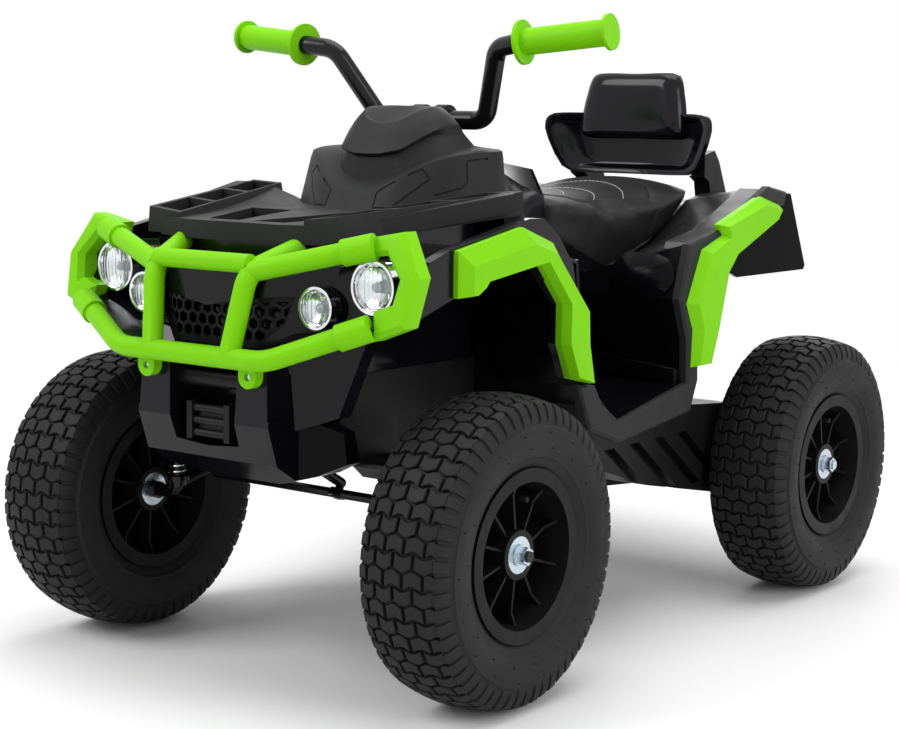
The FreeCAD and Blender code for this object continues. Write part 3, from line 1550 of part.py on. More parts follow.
# Rear body: a hollow fender box on each side, the deck between them and the arches behind the flares
def make_rear_body(neighbours):
    start = (rear_body_y, rear_body_z)
    size = (rear_body_length, rear_body_height)
    near = place(rear_inner_shares, start, size)
    far = place(rear_side_shares, start, size)
    box = ruled([on_side(near, rear_inner_x), on_side(far, rear_half)])
    inner = ruled([
        on_side(inset(near, rear_wall), rear_inner_x + rear_wall),
        on_side(inset(far, rear_wall), rear_half - rear_wall),
    ])
    below = moved(inner, V(0, 0, -2 * rear_wall))
    box = box.cut([inner, below])
    arch_points = place(arch_shares, (arch_y, arch_z), (arch_length, arch_height))
    inside = rear_half - rear_wall
    arch = side_prism(arch_points, inside, flare_inner_x)
    arch = arch.cut(side_prism(inset(arch_points, rear_wall), inside - overrun, flare_inner_x - rear_wall))
    deck = side_prism(strip(place(rear_deck_shares, start, size), rear_wall), -rear_inner_x - rear_wall,
                      rear_inner_x + rear_wall)
    whole = fused(deck, box, mirrored(box), arch, mirrored(arch))
    return trimmed(whole, *neighbours)


# Seat pad: crowned sections with drawn-in sides, lofted from front to rear
def make_seat():
    wires = []
    for along, top_half, crown, edge, low, low_half in seat_shares:
        y = seat_front_y + along * seat_length
        w, b = top_half * seat_half, low_half * seat_half
        z_top = seat_low_z + crown * seat_height
        z_edge = seat_low_z + edge * seat_height
        z_low = seat_low_z + low * seat_height
        waist = (w + b) / 2 - seat_tuck
        z_mid = (z_edge + z_low) / 2
        wires.append(Part.Wire([
            Part.LineSegment(V(-b, y, z_low), V(b, y, z_low)).toShape(),
            Part.Arc(V(b, y, z_low), V(waist, y, z_mid), V(w, y, z_edge)).toShape(),
            Part.Arc(V(w, y, z_edge), V(0, y, z_top), V(-w, y, z_edge)).toShape(),
            Part.Arc(V(-w, y, z_edge), V(-waist, y, z_mid), V(-b, y, z_low)).toShape(),
        ]))
    return Part.makeLoft(wires, True, False)


# A curved wall that stands across the backrest, between two distances behind its front
def back_wall(near, far):
    half = back_half + overrun
    depth = back_wing_forward * (half / back_half) ** 2

    def arc(step):
        return Part.Arc(V(-half, back_centre_y - depth + step, 0), V(0, back_centre_y + step, 0),
                        V(half, back_centre_y - depth + step, 0))

    front, rear = arc(near), arc(far)
    left = Part.LineSegment(front.StartPoint, rear.StartPoint)
    right = Part.LineSegment(front.EndPoint, rear.EndPoint)
    face = Part.Face(Part.Wire(Part.__sortEdges__([c.toShape() for c in (front, right, rear, left)])))
    wall = face.extrude(V(0, 0, back_height + head_height))
    wall.translate(V(0, 0, back_low_z))
    return wall


def back_outline(gap):
    half = place(back_shares, (0, back_low_z), (back_half, back_height))
    outline = inset(half[1:-1] + [(-a, b) for a, b in half[-2:0:-1]], gap)
    wire = rounded(on_front(outline, back_centre_y - overrun * 4), back_corner - gap)
    return Part.Face(wire).extrude(V(0, overrun * 8, 0))


# Backrest shell: a bucket with a raised rim
def make_backrest():
    shell = back_wall(0, back_thickness).common(back_outline(0))
    dish = back_wall(-overrun, back_recess).common(back_outline(back_rim))
    return shell.cut(dish)


# Upper pad on the front of the backrest shell
def make_head_pad(back):
    half = place(head_shares, (0, head_low_z), (head_half, head_height))
    outline = half[1:-1] + [(-a, b) for a, b in half[-2:0:-1]]
    rear_y_line = back_centre_y - back_wing_forward * (head_gap_half / back_half) ** 2
    front_line = rear_y_line - head_thickness
    wire = rounded(on_front(outline, front_line), head_corner)
    slab = Part.Face(wire).extrude(V(0, head_thickness * 2, 0))
    pad = slab.cut(back_wall(back_recess, head_thickness * 2))
    front_edges = [edge for edge in pad.Edges if abs(edge.BoundBox.YMax - front_line) < running_clearance]
    return pad.makeFillet(head_edge, front_edges).cut(back)


def make_post(neighbours):
    points = place(post_shares, (post_y, post_low_z), (post_length, post_height))
    post = side_prism(points, post_x - post_width / 2, post_x + post_width / 2)
    return trimmed(post, *neighbours)


# Throttle pedal, ribbed, hinged at its heel on the right tray's floor
def make_pedal():
    y, z = pedal_pivot()
    half = pedal_width / 2
    slope = pedal_angle()
    plate = block(-half, half, -pedal_length, 0, -pedal_thickness / 2, pedal_thickness / 2)
    ribs = []
    for i in range(pedal_ribs):
        along = -pedal_length * (i + 1) / (pedal_ribs + 1)
        ribs.append(block(-half + pedal_rib_width, half - pedal_rib_width, along, along + pedal_rib_width,
                          0, pedal_thickness / 2 + pedal_rib_height))
    reach = half + pedal_pivot_radius * 2
    pin = rod(V(-reach, 0, 0), V(reach, 0, 0), pedal_pivot_radius)
    pedal = fused(plate, pin, *ribs)
    pedal.rotate(V(0, 0, 0), V(1, 0, 0), -slope)
    pedal.translate(V(pedal_x, y, z))
    return pedal


# The pedal's pin, above the front slope of the tray's floor
def pedal_pivot():
    line = footwell_line()
    (y0, z0), (y1, z1) = line[3], line[4]
    along = (pedal_heel_y - y0) / (y1 - y0)
    return pedal_heel_y, z0 + along * (z1 - z0) + pedal_pivot_radius + pedal_lift


def pedal_angle():
    (y0, z0), (y1, z1) = footwell_line()[2:4]
    return math.degrees(math.atan2(z0 - z1, y1 - y0)) * 0.5


# Two ears on the tray's floor that hold the pedal's pin
def pedal_ears():
    y, z = pedal_pivot()
    ears = []
    half = pedal_width / 2
    for side in (-1, 1):
        near, far = half + seat_clearance, half + pedal_pivot_radius * 2
        x0, x1 = sorted((pedal_x + side * near, pedal_x + side * far))
        low = z - pedal_lift - pedal_pivot_radius * 3
        ears.append(block(x0, x1, y - pedal_pivot_radius * 2, y + pedal_pivot_radius * 2, low,
                          z + pedal_pivot_radius * 2))
    reach = V(pedal_width, 0, 0)
    middle = V(pedal_x, y, z)
    pin = rod(middle - reach, middle + reach, pedal_pivot_radius + running_clearance)
    return [ear.cut(pin) for ear in ears]


parts = {}

tyre, rim, bearings, nut = make_tyre(), make_rim(), make_bearings(), make_axle_nut()
for end, y in (("front", front_y), ("rear", rear_y)):
    for side, left in (("left", True), ("right", False)):
        parts["tyre_%s_%s" % (end, side)] = at_wheel(tyre, left, y)
        parts["rim_%s_%s" % (end, side)] = at_wheel(rim, left, y)
        parts["bearings_%s_%s" % (end, side)] = at_wheel(bearings, left, y)

spindle, perch, spring = make_spindle(), make_perch(), make_spring()
for side, left in (("left", True), ("right", False)):
    parts["axle_nut_front_%s" % side] = at_wheel(nut, left, front_y)
    for name, shape in (("spindle", spindle), ("spring_perch", perch), ("front_spring", spring)):
        parts["%s_%s" % (name, side)] = shape if left else mirrored(shape)
parts["axle_nuts_rear"] = Part.makeCompound([at_wheel(nut, True, rear_y), at_wheel(nut, False, rear_y)])

parts["front_axle_beam"] = make_beam()
parts["steering_bushes"] = make_bushes()
parts["steering_column"] = make_column()
parts["tie_rod"] = make_tie_rod()
parts["handlebar"] = make_handlebar()
parts["handlebar_clamps"] = make_clamps()
grip = make_grip()
parts["grip_left"] = grip
parts["grip_right"] = mirrored(grip)
parts["rear_axle"] = make_rear_axle()
gearbox = make_gearbox()
parts["gearboxes"] = pair(gearbox)
parts["drive_motors"] = pair(make_motor())
parts["battery"] = make_battery()

seat = make_seat()
front_flare, rear_flare = make_front_flare(), make_rear_flare()
flares = [front_flare, rear_flare]
frame = make_footwell_frame(flares)
whole_tub = fused(make_footwell_tub(seat), *pedal_ears())
chassis = trimmed(make_chassis(), pair(gearbox), whole_tub)
tub = trimmed(whole_tub, frame, mirrored(frame))
cowl = make_cowl()
tank = trimmed(make_tank(), cowl, seat)
bezels = make_bezels()
bull_bar = trimmed(make_bull_bar(), bezels)
deck = make_deck([collar(0), bull_bar])
fascia = make_fascia([chassis, bull_bar])
nose = make_nose([fascia, bull_bar, bezels, deck])
grille = trimmed(make_grille(), nose)
sides = [frame, mirrored(frame)]
for flare in flares:
    sides += [flare, mirrored(flare)]
fixed = [front_of_nose(), tub, chassis, nose, grille, deck, cowl, tank, bull_bar, fascia]
front_body = make_front_body(fixed + sides + lamp_rooms())
back = make_backrest()
head = make_head_pad(back)
rear_body = make_rear_body([tub, seat, chassis] + sides)
post = make_post([back, rear_body])

parts["chassis_tub"] = chassis
parts["footwell_tub"] = tub
parts["footwell_frames"] = pair(frame)
parts["front_flare_left"] = front_flare
parts["front_flare_right"] = mirrored(front_flare)
parts["rear_flare_left"] = rear_flare
parts["rear_flare_right"] = mirrored(rear_flare)
parts["front_body"] = front_body
parts["front_deck"] = deck
parts["steering_cowl"] = cowl
parts["tank_cover"] = tank
parts["power_button"] = make_button()
parts["direction_switch"] = make_switch()
parts["bull_bar"] = bull_bar
parts["headlight_bezels"] = bezels
parts["headlight_lenses"] = make_lenses()
parts["grille"] = grille
parts["nose_panel"] = nose
parts["front_fascia"] = fascia
parts["winch_fairlead"] = trimmed(make_winch(), fascia)
parts["rear_body"] = rear_body
parts["seat_pad"] = seat
parts["backrest_shell"] = back
parts["backrest_pad"] = head
parts["backrest_posts"] = pair(post)
parts["throttle_pedal"] = make_pedal()

os.makedirs("parts", exist_ok=True)
for name, shape in parts.items():
    node = Part.makeCompound([moved(solid, V(0, origin_shift, 0)) for solid in shape.Solids])
    node.exportStep("parts/%s.step" % name)
    print(name, len(node.Solids), round(node.Volume), node.isValid())
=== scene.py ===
import json
import math

import bpy
from mathutils import Matrix, Vector


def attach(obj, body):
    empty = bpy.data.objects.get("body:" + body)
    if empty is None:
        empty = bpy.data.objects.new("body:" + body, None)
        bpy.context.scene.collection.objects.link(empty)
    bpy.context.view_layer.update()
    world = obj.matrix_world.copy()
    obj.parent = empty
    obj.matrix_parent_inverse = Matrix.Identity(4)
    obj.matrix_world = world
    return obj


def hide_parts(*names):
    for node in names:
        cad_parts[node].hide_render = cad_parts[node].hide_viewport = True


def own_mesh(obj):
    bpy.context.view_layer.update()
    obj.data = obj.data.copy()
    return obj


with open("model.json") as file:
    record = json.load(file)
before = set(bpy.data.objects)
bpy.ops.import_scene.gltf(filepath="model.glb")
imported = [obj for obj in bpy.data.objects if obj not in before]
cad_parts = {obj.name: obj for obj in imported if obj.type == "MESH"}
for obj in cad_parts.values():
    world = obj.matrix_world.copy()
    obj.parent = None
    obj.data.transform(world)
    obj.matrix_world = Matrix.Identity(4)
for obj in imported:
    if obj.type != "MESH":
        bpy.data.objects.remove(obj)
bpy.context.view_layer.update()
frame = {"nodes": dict(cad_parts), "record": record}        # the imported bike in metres, nose towards -Y, ground at z 0
nodes = frame["nodes"]
print("frame loaded:", len(nodes), "nodes")


# small helpers for working like in the viewport

def pick(*pieces):
    for other in bpy.context.selected_objects:
        other.select_set(False)
    for piece in pieces:
        piece.select_set(True)
    bpy.context.view_layer.objects.active = pieces[-1]


def editAll(piece):
    pick(piece)
    bpy.ops.object.mode_set(mode="EDIT")
    bpy.ops.mesh.select_all(action="SELECT")


def leaveEdit():
    bpy.ops.object.mode_set(mode="OBJECT")


def applyAll(piece):
    pick(piece)
    for modifier in list(piece.modifiers):
        bpy.ops.object.modifier_apply(modifier=modifier.name)


def closeUp(piece, distance=0.00002):
    editAll(piece)
    bpy.ops.mesh.remove_doubles(threshold=distance)
    bpy.ops.mesh.normals_make_consistent(inside=False)
    leaveEdit()


def softenEdges(piece, width, degrees=40, segments=2):
    bevel = piece.modifiers.new("edges", "BEVEL")
    bevel.width = width
    bevel.segments = segments
    bevel.limit_method = "ANGLE"
    bevel.angle_limit = math.radians(degrees)
    bevel.use_clamp_overlap = True
    bevel.harden_normals = False
    applyAll(piece)


def thicken(piece, thickness, offset):
    wall = piece.modifiers.new("wall", "SOLIDIFY")
    wall.thickness = thickness
    wall.offset = offset
    applyAll(piece)


def relax(piece, factor, times):
    rounder = piece.modifiers.new("rounder", "SMOOTH")
    rounder.factor = factor
    rounder.iterations = times
    applyAll(piece)


def refine(piece, levels):
    finer = piece.modifiers.new("finer", "SUBSURF")
    finer.levels = levels
    finer.render_levels = levels
    applyAll(piece)


def smoothBy(piece, degrees=40):
    pick(piece)
    bpy.ops.object.shade_smooth_by_angle(angle=math.radians(degrees))


def settle(piece):
    pick(piece)
    bpy.ops.object.transform_apply(location=True, rotation=True, scale=True)


def linkUp(name, data):
    newcomer = bpy.data.objects.new(name, data)
    bpy.context.scene.collection.objects.link(newcomer)
    return newcomer


def startTube(name, radius):
    data = bpy.data.curves.new(name, "CURVE")
    data.dimensions = "3D"
    data.bevel_depth = radius
    data.bevel_resolution = 1
    data.use_fill_caps = True
    return data


def meshFrom(name, curveData):
    pick(linkUp(name, curveData))
    bpy.ops.object.convert(target="MESH")
    made = bpy.context.active_object
    closeUp(made)
    return made


# a closed line of edges through the places given, or one face with that outline
def ringThrough(places, fill="NOTHING"):
    bpy.ops.mesh.primitive_circle_add(vertices=len(places), fill_type=fill)
    ring = bpy.context.active_object
    for vertex, place in zip(ring.data.vertices, places):
        vertex.co = place
    return ring


def spinRound(ring, axis, steps):
    editAll(ring)
    bpy.ops.mesh.spin(steps=steps, angle=2 * math.pi, center=(0, 0, 0), axis=axis)
    leaveEdit()
    closeUp(ring)
    return ring


def joinAll(pieces, name):
    pick(*pieces)
    bpy.ops.object.join()
    whole = bpy.context.active_object
    whole.name = name
    whole.data.name = name
    return whole


def finishPiece(piece, material, body, slot, *stoodFor):
    piece.data.materials.clear()
    piece.data.materials.append(material)
    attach(piece, body)
    if stoodFor:
        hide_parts(*stoodFor)


# materials: each reads Object coordinates, so grain stays put when the bike moves

def startMaterial(name, roughness, metallic=0.0):
    material = bpy.data.materials.new(name)
    material.use_nodes = True
    shader = material.node_tree.nodes["Principled BSDF"]
    shader.inputs["Roughness"].default_value = roughness
    shader.inputs["Metallic"].default_value = metallic
    return material, material.node_tree, shader


def surfaceSpace(tree):
    return tree.nodes.new("ShaderNodeTexCoord").outputs["Object"]


def noiseOn(tree, space, scale, detail=2.0):
    noise = tree.nodes.new("ShaderNodeTexNoise")
    noise.inputs["Scale"].default_value = scale
    noise.inputs["Detail"].default_value = detail
    tree.links.new(space, noise.inputs["Vector"])
    return noise.outputs["Fac"]


def cellsOn(tree, space, scale):
    cells = tree.nodes.new("ShaderNodeTexVoronoi")
    cells.inputs["Scale"].default_value = scale
    tree.links.new(space, cells.inputs["Vector"])
    return cells.outputs["Distance"]


def stretched(tree, factor, low, high, fromLow=0.3, fromHigh=0.7):
    span = tree.nodes.new("ShaderNodeMapRange")
    for socket, value in (("From Min", fromLow), ("From Max", fromHigh), ("To Min", low), ("To Max", high)):
        span.inputs[socket].default_value = value
    tree.links.new(factor, span.inputs["Value"])
    return span.outputs["Result"]


def twoTones(tree, factor, first, second):
    mix = tree.nodes.new("ShaderNodeMix")
    mix.data_type = "RGBA"
    mix.inputs["A"].default_value = (*first, 1)
    mix.inputs["B"].default_value = (*second, 1)
    tree.links.new(factor, mix.inputs["Factor"])
    return mix.outputs["Result"]


def bumpFrom(tree, shader, height, strength, distance):
    bump = tree.nodes.new("ShaderNodeBump")
    bump.inputs["Strength"].default_value = strength
    bump.inputs["Distance"].default_value = distance
    tree.links.new(height, bump.inputs["Height"])
    tree.links.new(bump.outputs["Normal"], shader.inputs["Normal"])


def mouldedPlastic(name, look):
    material, tree, shader = startMaterial(name, look["roughness"])
    space = surfaceSpace(tree)
    drift = noiseOn(tree, space, look["driftScale"], detail=3)
    tree.links.new(twoTones(tree, drift, look["colour"], look["shade"]), shader.inputs["Base Color"])
    finer = 4        # the gloss wanders over shorter stretches than the colour
    rough = stretched(tree, noiseOn(tree, space, look["driftScale"] * finer), *look["roughSpan"])
    tree.links.new(rough, shader.inputs["Roughness"])
    grain = noiseOn(tree, space, look["grainScale"])
    bumpFrom(tree, shader, grain, look["grainBump"], look["grainDepth"])
    shader.inputs["Specular IOR Level"].default_value = look.get("specular", 0.5)
    return material


limePlastic = mouldedPlastic("lime plastic", {
    "colour": (0.200, 0.600, 0.004), "shade": (0.185, 0.565, 0.003), "driftScale": 9,
    "roughness": 0.42, "roughSpan": (0.38, 0.5), "specular": 0.10,
    "grainScale": 1300, "grainBump": 0.10, "grainDepth": 0.0003})
glossBlack = mouldedPlastic("gloss black plastic", {
    "colour": (0.0030, 0.0026, 0.0040), "shade": (0.0045, 0.0038, 0.0060), "driftScale": 6,
    "roughness": 0.12, "roughSpan": (0.09, 0.16), "specular": 0.24,
    "grainScale": 45, "grainBump": 0.04, "grainDepth": 0.0006})
satinGrey = mouldedPlastic("satin grey plastic", {
    "colour": (0.0165, 0.0165, 0.0172), "shade": (0.0205, 0.0205, 0.0212), "driftScale": 7,
    "roughness": 0.5, "roughSpan": (0.46, 0.58), "specular": 0.15,
    "grainScale": 1500, "grainBump": 0.16, "grainDepth": 0.0003})
satinBlack = mouldedPlastic("satin black plastic", {
    "colour": (0.0055, 0.0055, 0.0060), "shade": (0.0075, 0.0075, 0.0080), "driftScale": 8,
    "roughness": 0.4, "roughSpan": (0.34, 0.46), "specular": 0.16,
    "grainScale": 1500, "grainBump": 0.10, "grainDepth": 0.0003})
# a darker, duller copy of the gloss black, used as painted shade on the footwell's insides and on faces
# that lie in shade
shadedGlossLook = {
    "colour": (0.0022, 0.0020, 0.0028), "shade": (0.0034, 0.0030, 0.0042), "driftScale": 7,
    "roughness": 0.2, "roughSpan": (0.15, 0.26), "specular": 0.08,
    "grainScale": 60, "grainBump": 0.04, "grainDepth": 0.0005}
shadedGlossBlack = mouldedPlastic("gloss black plastic with painted shade", shadedGlossLook)
# a still darker copy with almost no reflection, as deeper painted shade on faces in the shade of the wheels
deepShadedBlack = mouldedPlastic("gloss black plastic with deep painted shade", {
    **shadedGlossLook, "roughness": 0.3, "roughSpan": (0.25, 0.36), "specular": 0.02})
rimPlastic = mouldedPlastic("rim plastic", {
    "colour": (0.0046, 0.0046, 0.0050), "shade": (0.0070, 0.0070, 0.0075), "driftScale": 14,
    "roughness": 0.45, "roughSpan": (0.38, 0.52), "specular": 0.13,
    "grainScale": 1800, "grainBump": 0.12, "grainDepth": 0.0003})
redPlastic = mouldedPlastic("red button plastic", {
    "colour": (0.45, 0.012, 0.012), "shade": (0.38, 0.010, 0.010), "driftScale": 60, "roughness": 0.3,
    "roughSpan": (0.25, 0.35), "grainScale": 1500, "grainBump": 0.08, "grainDepth": 0.0002})
bushNylon = mouldedPlastic("bush nylon", {
    "colour": (0.48, 0.47, 0.44), "shade": (0.42, 0.41, 0.38), "driftScale": 30, "roughness": 0.5,
    "roughSpan": (0.45, 0.6), "grainScale": 900, "grainBump": 0.1, "grainDepth": 0.0002})
batteryCase = mouldedPlastic("battery case", {
    "colour": (0.03, 0.03, 0.035), "shade": (0.04, 0.04, 0.045), "driftScale": 12, "roughness": 0.45,
    "roughSpan": (0.4, 0.55), "grainScale": 700, "grainBump": 0.15, "grainDepth": 0.0003})
blackPaint = mouldedPlastic("black paint", {
    "colour": (0.004, 0.004, 0.005), "shade": (0.006, 0.006, 0.007), "driftScale": 18,
    "roughness": 0.2, "roughSpan": (0.15, 0.25), "specular": 0.26,
    "grainScale": 240, "grainBump": 0.04, "grainDepth": 0.0003})
bulbGlass = mouldedPlastic("bulb glass", {
    "colour": (0.75, 0.76, 0.78), "shade": (0.66, 0.67, 0.70), "driftScale": 120, "roughness": 0.12,
    "roughSpan": (0.08, 0.16), "grainScale": 600, "grainBump": 0.02, "grainDepth": 0.0002})


def makeRubber(name, look):
    material, tree, shader = startMaterial(name, look["roughness"])
    space = surfaceSpace(tree)
    bloom = noiseOn(tree, space, look["bloomScale"], detail=4)
    tree.links.new(twoTones(tree, bloom, look["colour"], look["dust"]), shader.inputs["Base Color"])
    tree.links.new(stretched(tree, bloom, *look["roughSpan"]), shader.inputs["Roughness"])
    grain = noiseOn(tree, space, look["grainScale"], detail=3)
    bumpFrom(tree, shader, grain, look["grainBump"], look["grainDepth"])
    shader.inputs["Specular IOR Level"].default_value = look["specular"]
    return material


tyreRubber = makeRubber("tyre rubber", {
    "colour": (0.0100, 0.0100, 0.0103), "dust": (0.0150, 0.0150, 0.0150), "bloomScale": 24,
    "roughness": 0.6, "roughSpan": (0.5, 0.66), "specular": 0.17,
    "grainScale": 1700, "grainBump": 0.18, "grainDepth": 0.0003})


def makeMetal(name, look):
    material, tree, shader = startMaterial(name, look["roughness"], metallic=1.0)
    space = surfaceSpace(tree)
    drift = noiseOn(tree, space, look["driftScale"], detail=3)
    tree.links.new(twoTones(tree, drift, look["colour"], look["shade"]), shader.inputs["Base Color"])
    tree.links.new(stretched(tree, drift, *look["roughSpan"]), shader.inputs["Roughness"])
    grain = noiseOn(tree, space, look["grainScale"])
    bumpFrom(tree, shader, grain, look["grainBump"], look["grainDepth"])
    return material


chrome = makeMetal("chrome", {
    "colour": (0.86, 0.87, 0.88), "shade": (0.78, 0.79, 0.81), "roughness": 0.08, "roughSpan": (0.05, 0.12),
    "driftScale": 40, "grainScale": 500, "grainBump": 0.02, "grainDepth": 0.0002})
zinc = makeMetal("zinc plate", {
    "colour": (0.62, 0.66, 0.70), "shade": (0.46, 0.56, 0.66), "roughness": 0.28, "roughSpan": (0.2, 0.36),
    "driftScale": 130, "grainScale": 1500, "grainBump": 0.08, "grainDepth": 0.0002})
motorCan = makeMetal("motor can", {
    "colour": (0.45, 0.45, 0.47), "shade": (0.38, 0.38, 0.40), "roughness": 0.35, "roughSpan": (0.3, 0.42),
    "driftScale": 50, "grainScale": 900, "grainBump": 0.08, "grainDepth": 0.0002})


def makeLensGlass():
    look = {
        "tint": (0.95, 0.97, 0.98), "roughness": 0.04, "ior": 1.45, "ribScale": 16.5, "bump": 0.5,
        "depth": 0.0012}
    material, tree, shader = startMaterial("lamp glass", look["roughness"])
    shader.inputs["Base Color"].default_value = (*look["tint"], 1)
    shader.inputs["Transmission Weight"].default_value = 1.0
    shader.inputs["IOR"].default_value = look["ior"]
    ribs = tree.nodes.new("ShaderNodeTexWave")
    ribs.bands_direction = "X"
    ribs.inputs["Scale"].default_value = look["ribScale"]
    tree.links.new(surfaceSpace(tree), ribs.inputs["Vector"])
    bumpFrom(tree, shader, ribs.outputs["Fac"], look["bump"], look["depth"])
    return material


lensGlass = makeLensGlass()


def makeLeatherette():
    look = {
        "colour": (0.0085, 0.0085, 0.0092), "worn": (0.0125, 0.0125, 0.0132), "driftScale": 16,
        "roughness": 0.45, "roughSpan": (0.38, 0.54), "specular": 0.20,
        "cells": 620, "grainBump": 0.32, "grainDepth": 0.0003}
    material, tree, shader = startMaterial("seat leatherette", look["roughness"])
    space = surfaceSpace(tree)
    drift = noiseOn(tree, space, look["driftScale"], detail=4)
    tree.links.new(twoTones(tree, drift, look["colour"], look["worn"]), shader.inputs["Base Color"])
    tree.links.new(stretched(tree, drift, *look["roughSpan"]), shader.inputs["Roughness"])
    bumpFrom(tree, shader, cellsOn(tree, space, look["cells"]), look["grainBump"], look["grainDepth"])
    shader.inputs["Specular IOR Level"].default_value = look["specular"]
    return material


leatherette = makeLeatherette()
seatThread = makeRubber("seat thread", {
    "colour": (0.42, 0.42, 0.42), "dust": (0.34, 0.34, 0.34), "roughness": 0.6, "roughSpan": (0.5, 0.7),
    "bloomScale": 200, "grainScale": 2500, "grainBump": 0.3, "grainDepth": 0.0003, "specular": 0.3})
print("materials ready")


# camera, light and floor

stage = {
    "cameraSpot": (1.4293, -1.9489, 0.6202), "azimuth": 37.134, "elevation": 7.5, "roll": 0.812,
    "lens": 78.2, "sensor": 36, "ambient": 0.55, "floorSize": 6.4, "floorColour": (0.93, 0.93, 0.93),
    "floorRough": 0.9, "floorSolid": 0.32, "floorGone": 0.86}
softboxes = {
    "keySoftbox": {"spot": (-1.6, -2.6, 2.6), "aim": (0, -0.1, 0.35), "size": 1.8, "watts": 62},
    "topSoftbox": {"spot": (0.3, 0.2, 2.9), "aim": (0, 0, 0.3), "size": 2.2, "watts": 48},
    "sideSoftbox": {"spot": (3.0, -0.4, 1.3), "aim": (0, 0, 0.3), "size": 1.5, "watts": 30},
    "backSoftbox": {"spot": (-1.2, 2.8, 1.8), "aim": (0, 0, 0.4), "size": 1.6, "watts": 26}}


def placeCamera():
    a = math.radians(stage["azimuth"])
    e = math.radians(stage["elevation"])
    r = math.radians(stage["roll"])
    back = Vector((math.sin(a) * math.cos(e), -math.cos(a) * math.cos(e), math.sin(e)))
    right = Vector((math.cos(a), math.sin(a), 0))
    up = back.cross(right)
    side = right * math.cos(r) + up * math.sin(r)
    top = up * math.cos(r) - right * math.sin(r)
    data = bpy.data.cameras.new("photoCamera")
    data.sensor_width = stage["sensor"]
    data.lens = stage["lens"]
    camera = linkUp("photoCamera", data)
    turn = Matrix((side, top, back)).transposed().to_4x4()
    camera.matrix_world = Matrix.Translation(Vector(stage["cameraSpot"])) @ turn
    bpy.context.scene.camera = camera


def hangSoftboxes():
    for name, softbox in softboxes.items():
        data = bpy.data.lights.new(name, "AREA")
        data.shape = "SQUARE"
        data.size = softbox["size"]
        data.energy = softbox["watts"]
        light = linkUp(name, data)
        light.location = softbox["spot"]
        aim = Vector(softbox["aim"]) - Vector(softbox["spot"])
        light.rotation_euler = aim.to_track_quat("-Z", "Y").to_euler()


# camera, mirror and glass rays see plain white; the rest get the soft fill
def lightTheRoom():
    world = bpy.data.worlds.new("studio")
    bpy.context.scene.world = world
    world.use_nodes = True
    tree = world.node_tree
    tree.nodes.clear()
    rays = tree.nodes.new("ShaderNodeLightPath")
    seen = rays.outputs["Is Camera Ray"]
    for kind in ("Is Glossy Ray", "Is Transmission Ray"):
        either = tree.nodes.new("ShaderNodeMath")
        either.operation = "MAXIMUM"
        tree.links.new(seen, either.inputs[0])
        tree.links.new(rays.outputs[kind], either.inputs[1])
        seen = either.outputs[0]
    fill = tree.nodes.new("ShaderNodeBackground")
    fill.inputs["Color"].default_value = (1, 1, 1, 1)
    fill.inputs["Strength"].default_value = stage["ambient"]
    white = tree.nodes.new("ShaderNodeBackground")
    white.inputs["Color"].default_value = (1, 1, 1, 1)
    mix = tree.nodes.new("ShaderNodeMixShader")
    out = tree.nodes.new("ShaderNodeOutputWorld")
    tree.links.new(seen, mix.inputs["Fac"])
    tree.links.new(fill.outputs[0], mix.inputs[1])
    tree.links.new(white.outputs[0], mix.inputs[2])
    tree.links.new(mix.outputs[0], out.inputs["Surface"])


# the floor keeps the shadow and fades out to the white round it
def layFloor():
    bpy.ops.mesh.primitive_plane_add(size=stage["floorSize"])
    floor = bpy.context.active_object
    floor.name = "studioFloor"
    material, tree, shader = startMaterial("studio floor", stage["floorRough"])
    shader.inputs["Base Color"].default_value = (*stage["floorColour"], 1)
    shader.inputs["Specular IOR Level"].default_value = 0.0
    reach = tree.nodes.new("ShaderNodeMapping")
    reach.inputs["Scale"].default_value = [2 / stage["floorSize"]] * 3
    tree.links.new(surfaceSpace(tree), reach.inputs["Vector"])
    ball = tree.nodes.new("ShaderNodeTexGradient")
    ball.gradient_type = "SPHERICAL"
    tree.links.new(reach.outputs["Vector"], ball.inputs["Vector"])
    solid = stretched(tree, ball.outputs["Fac"], 0, 1, 1 - stage["floorGone"], 1 - stage["floorSolid"])
    tree.links.new(solid, shader.inputs["Alpha"])
    floor.data.materials.append(material)


placeCamera()
hangSoftboxes()
lightTheRoom()
layFloor()
bpy.context.scene.view_settings.view_transform = "Standard"
print("stage set")


# rigid pieces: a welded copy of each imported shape, with its moulded edges rounded;
# each row gives the finish, its slot, how wide the rounding is and from which angle on an edge gets it

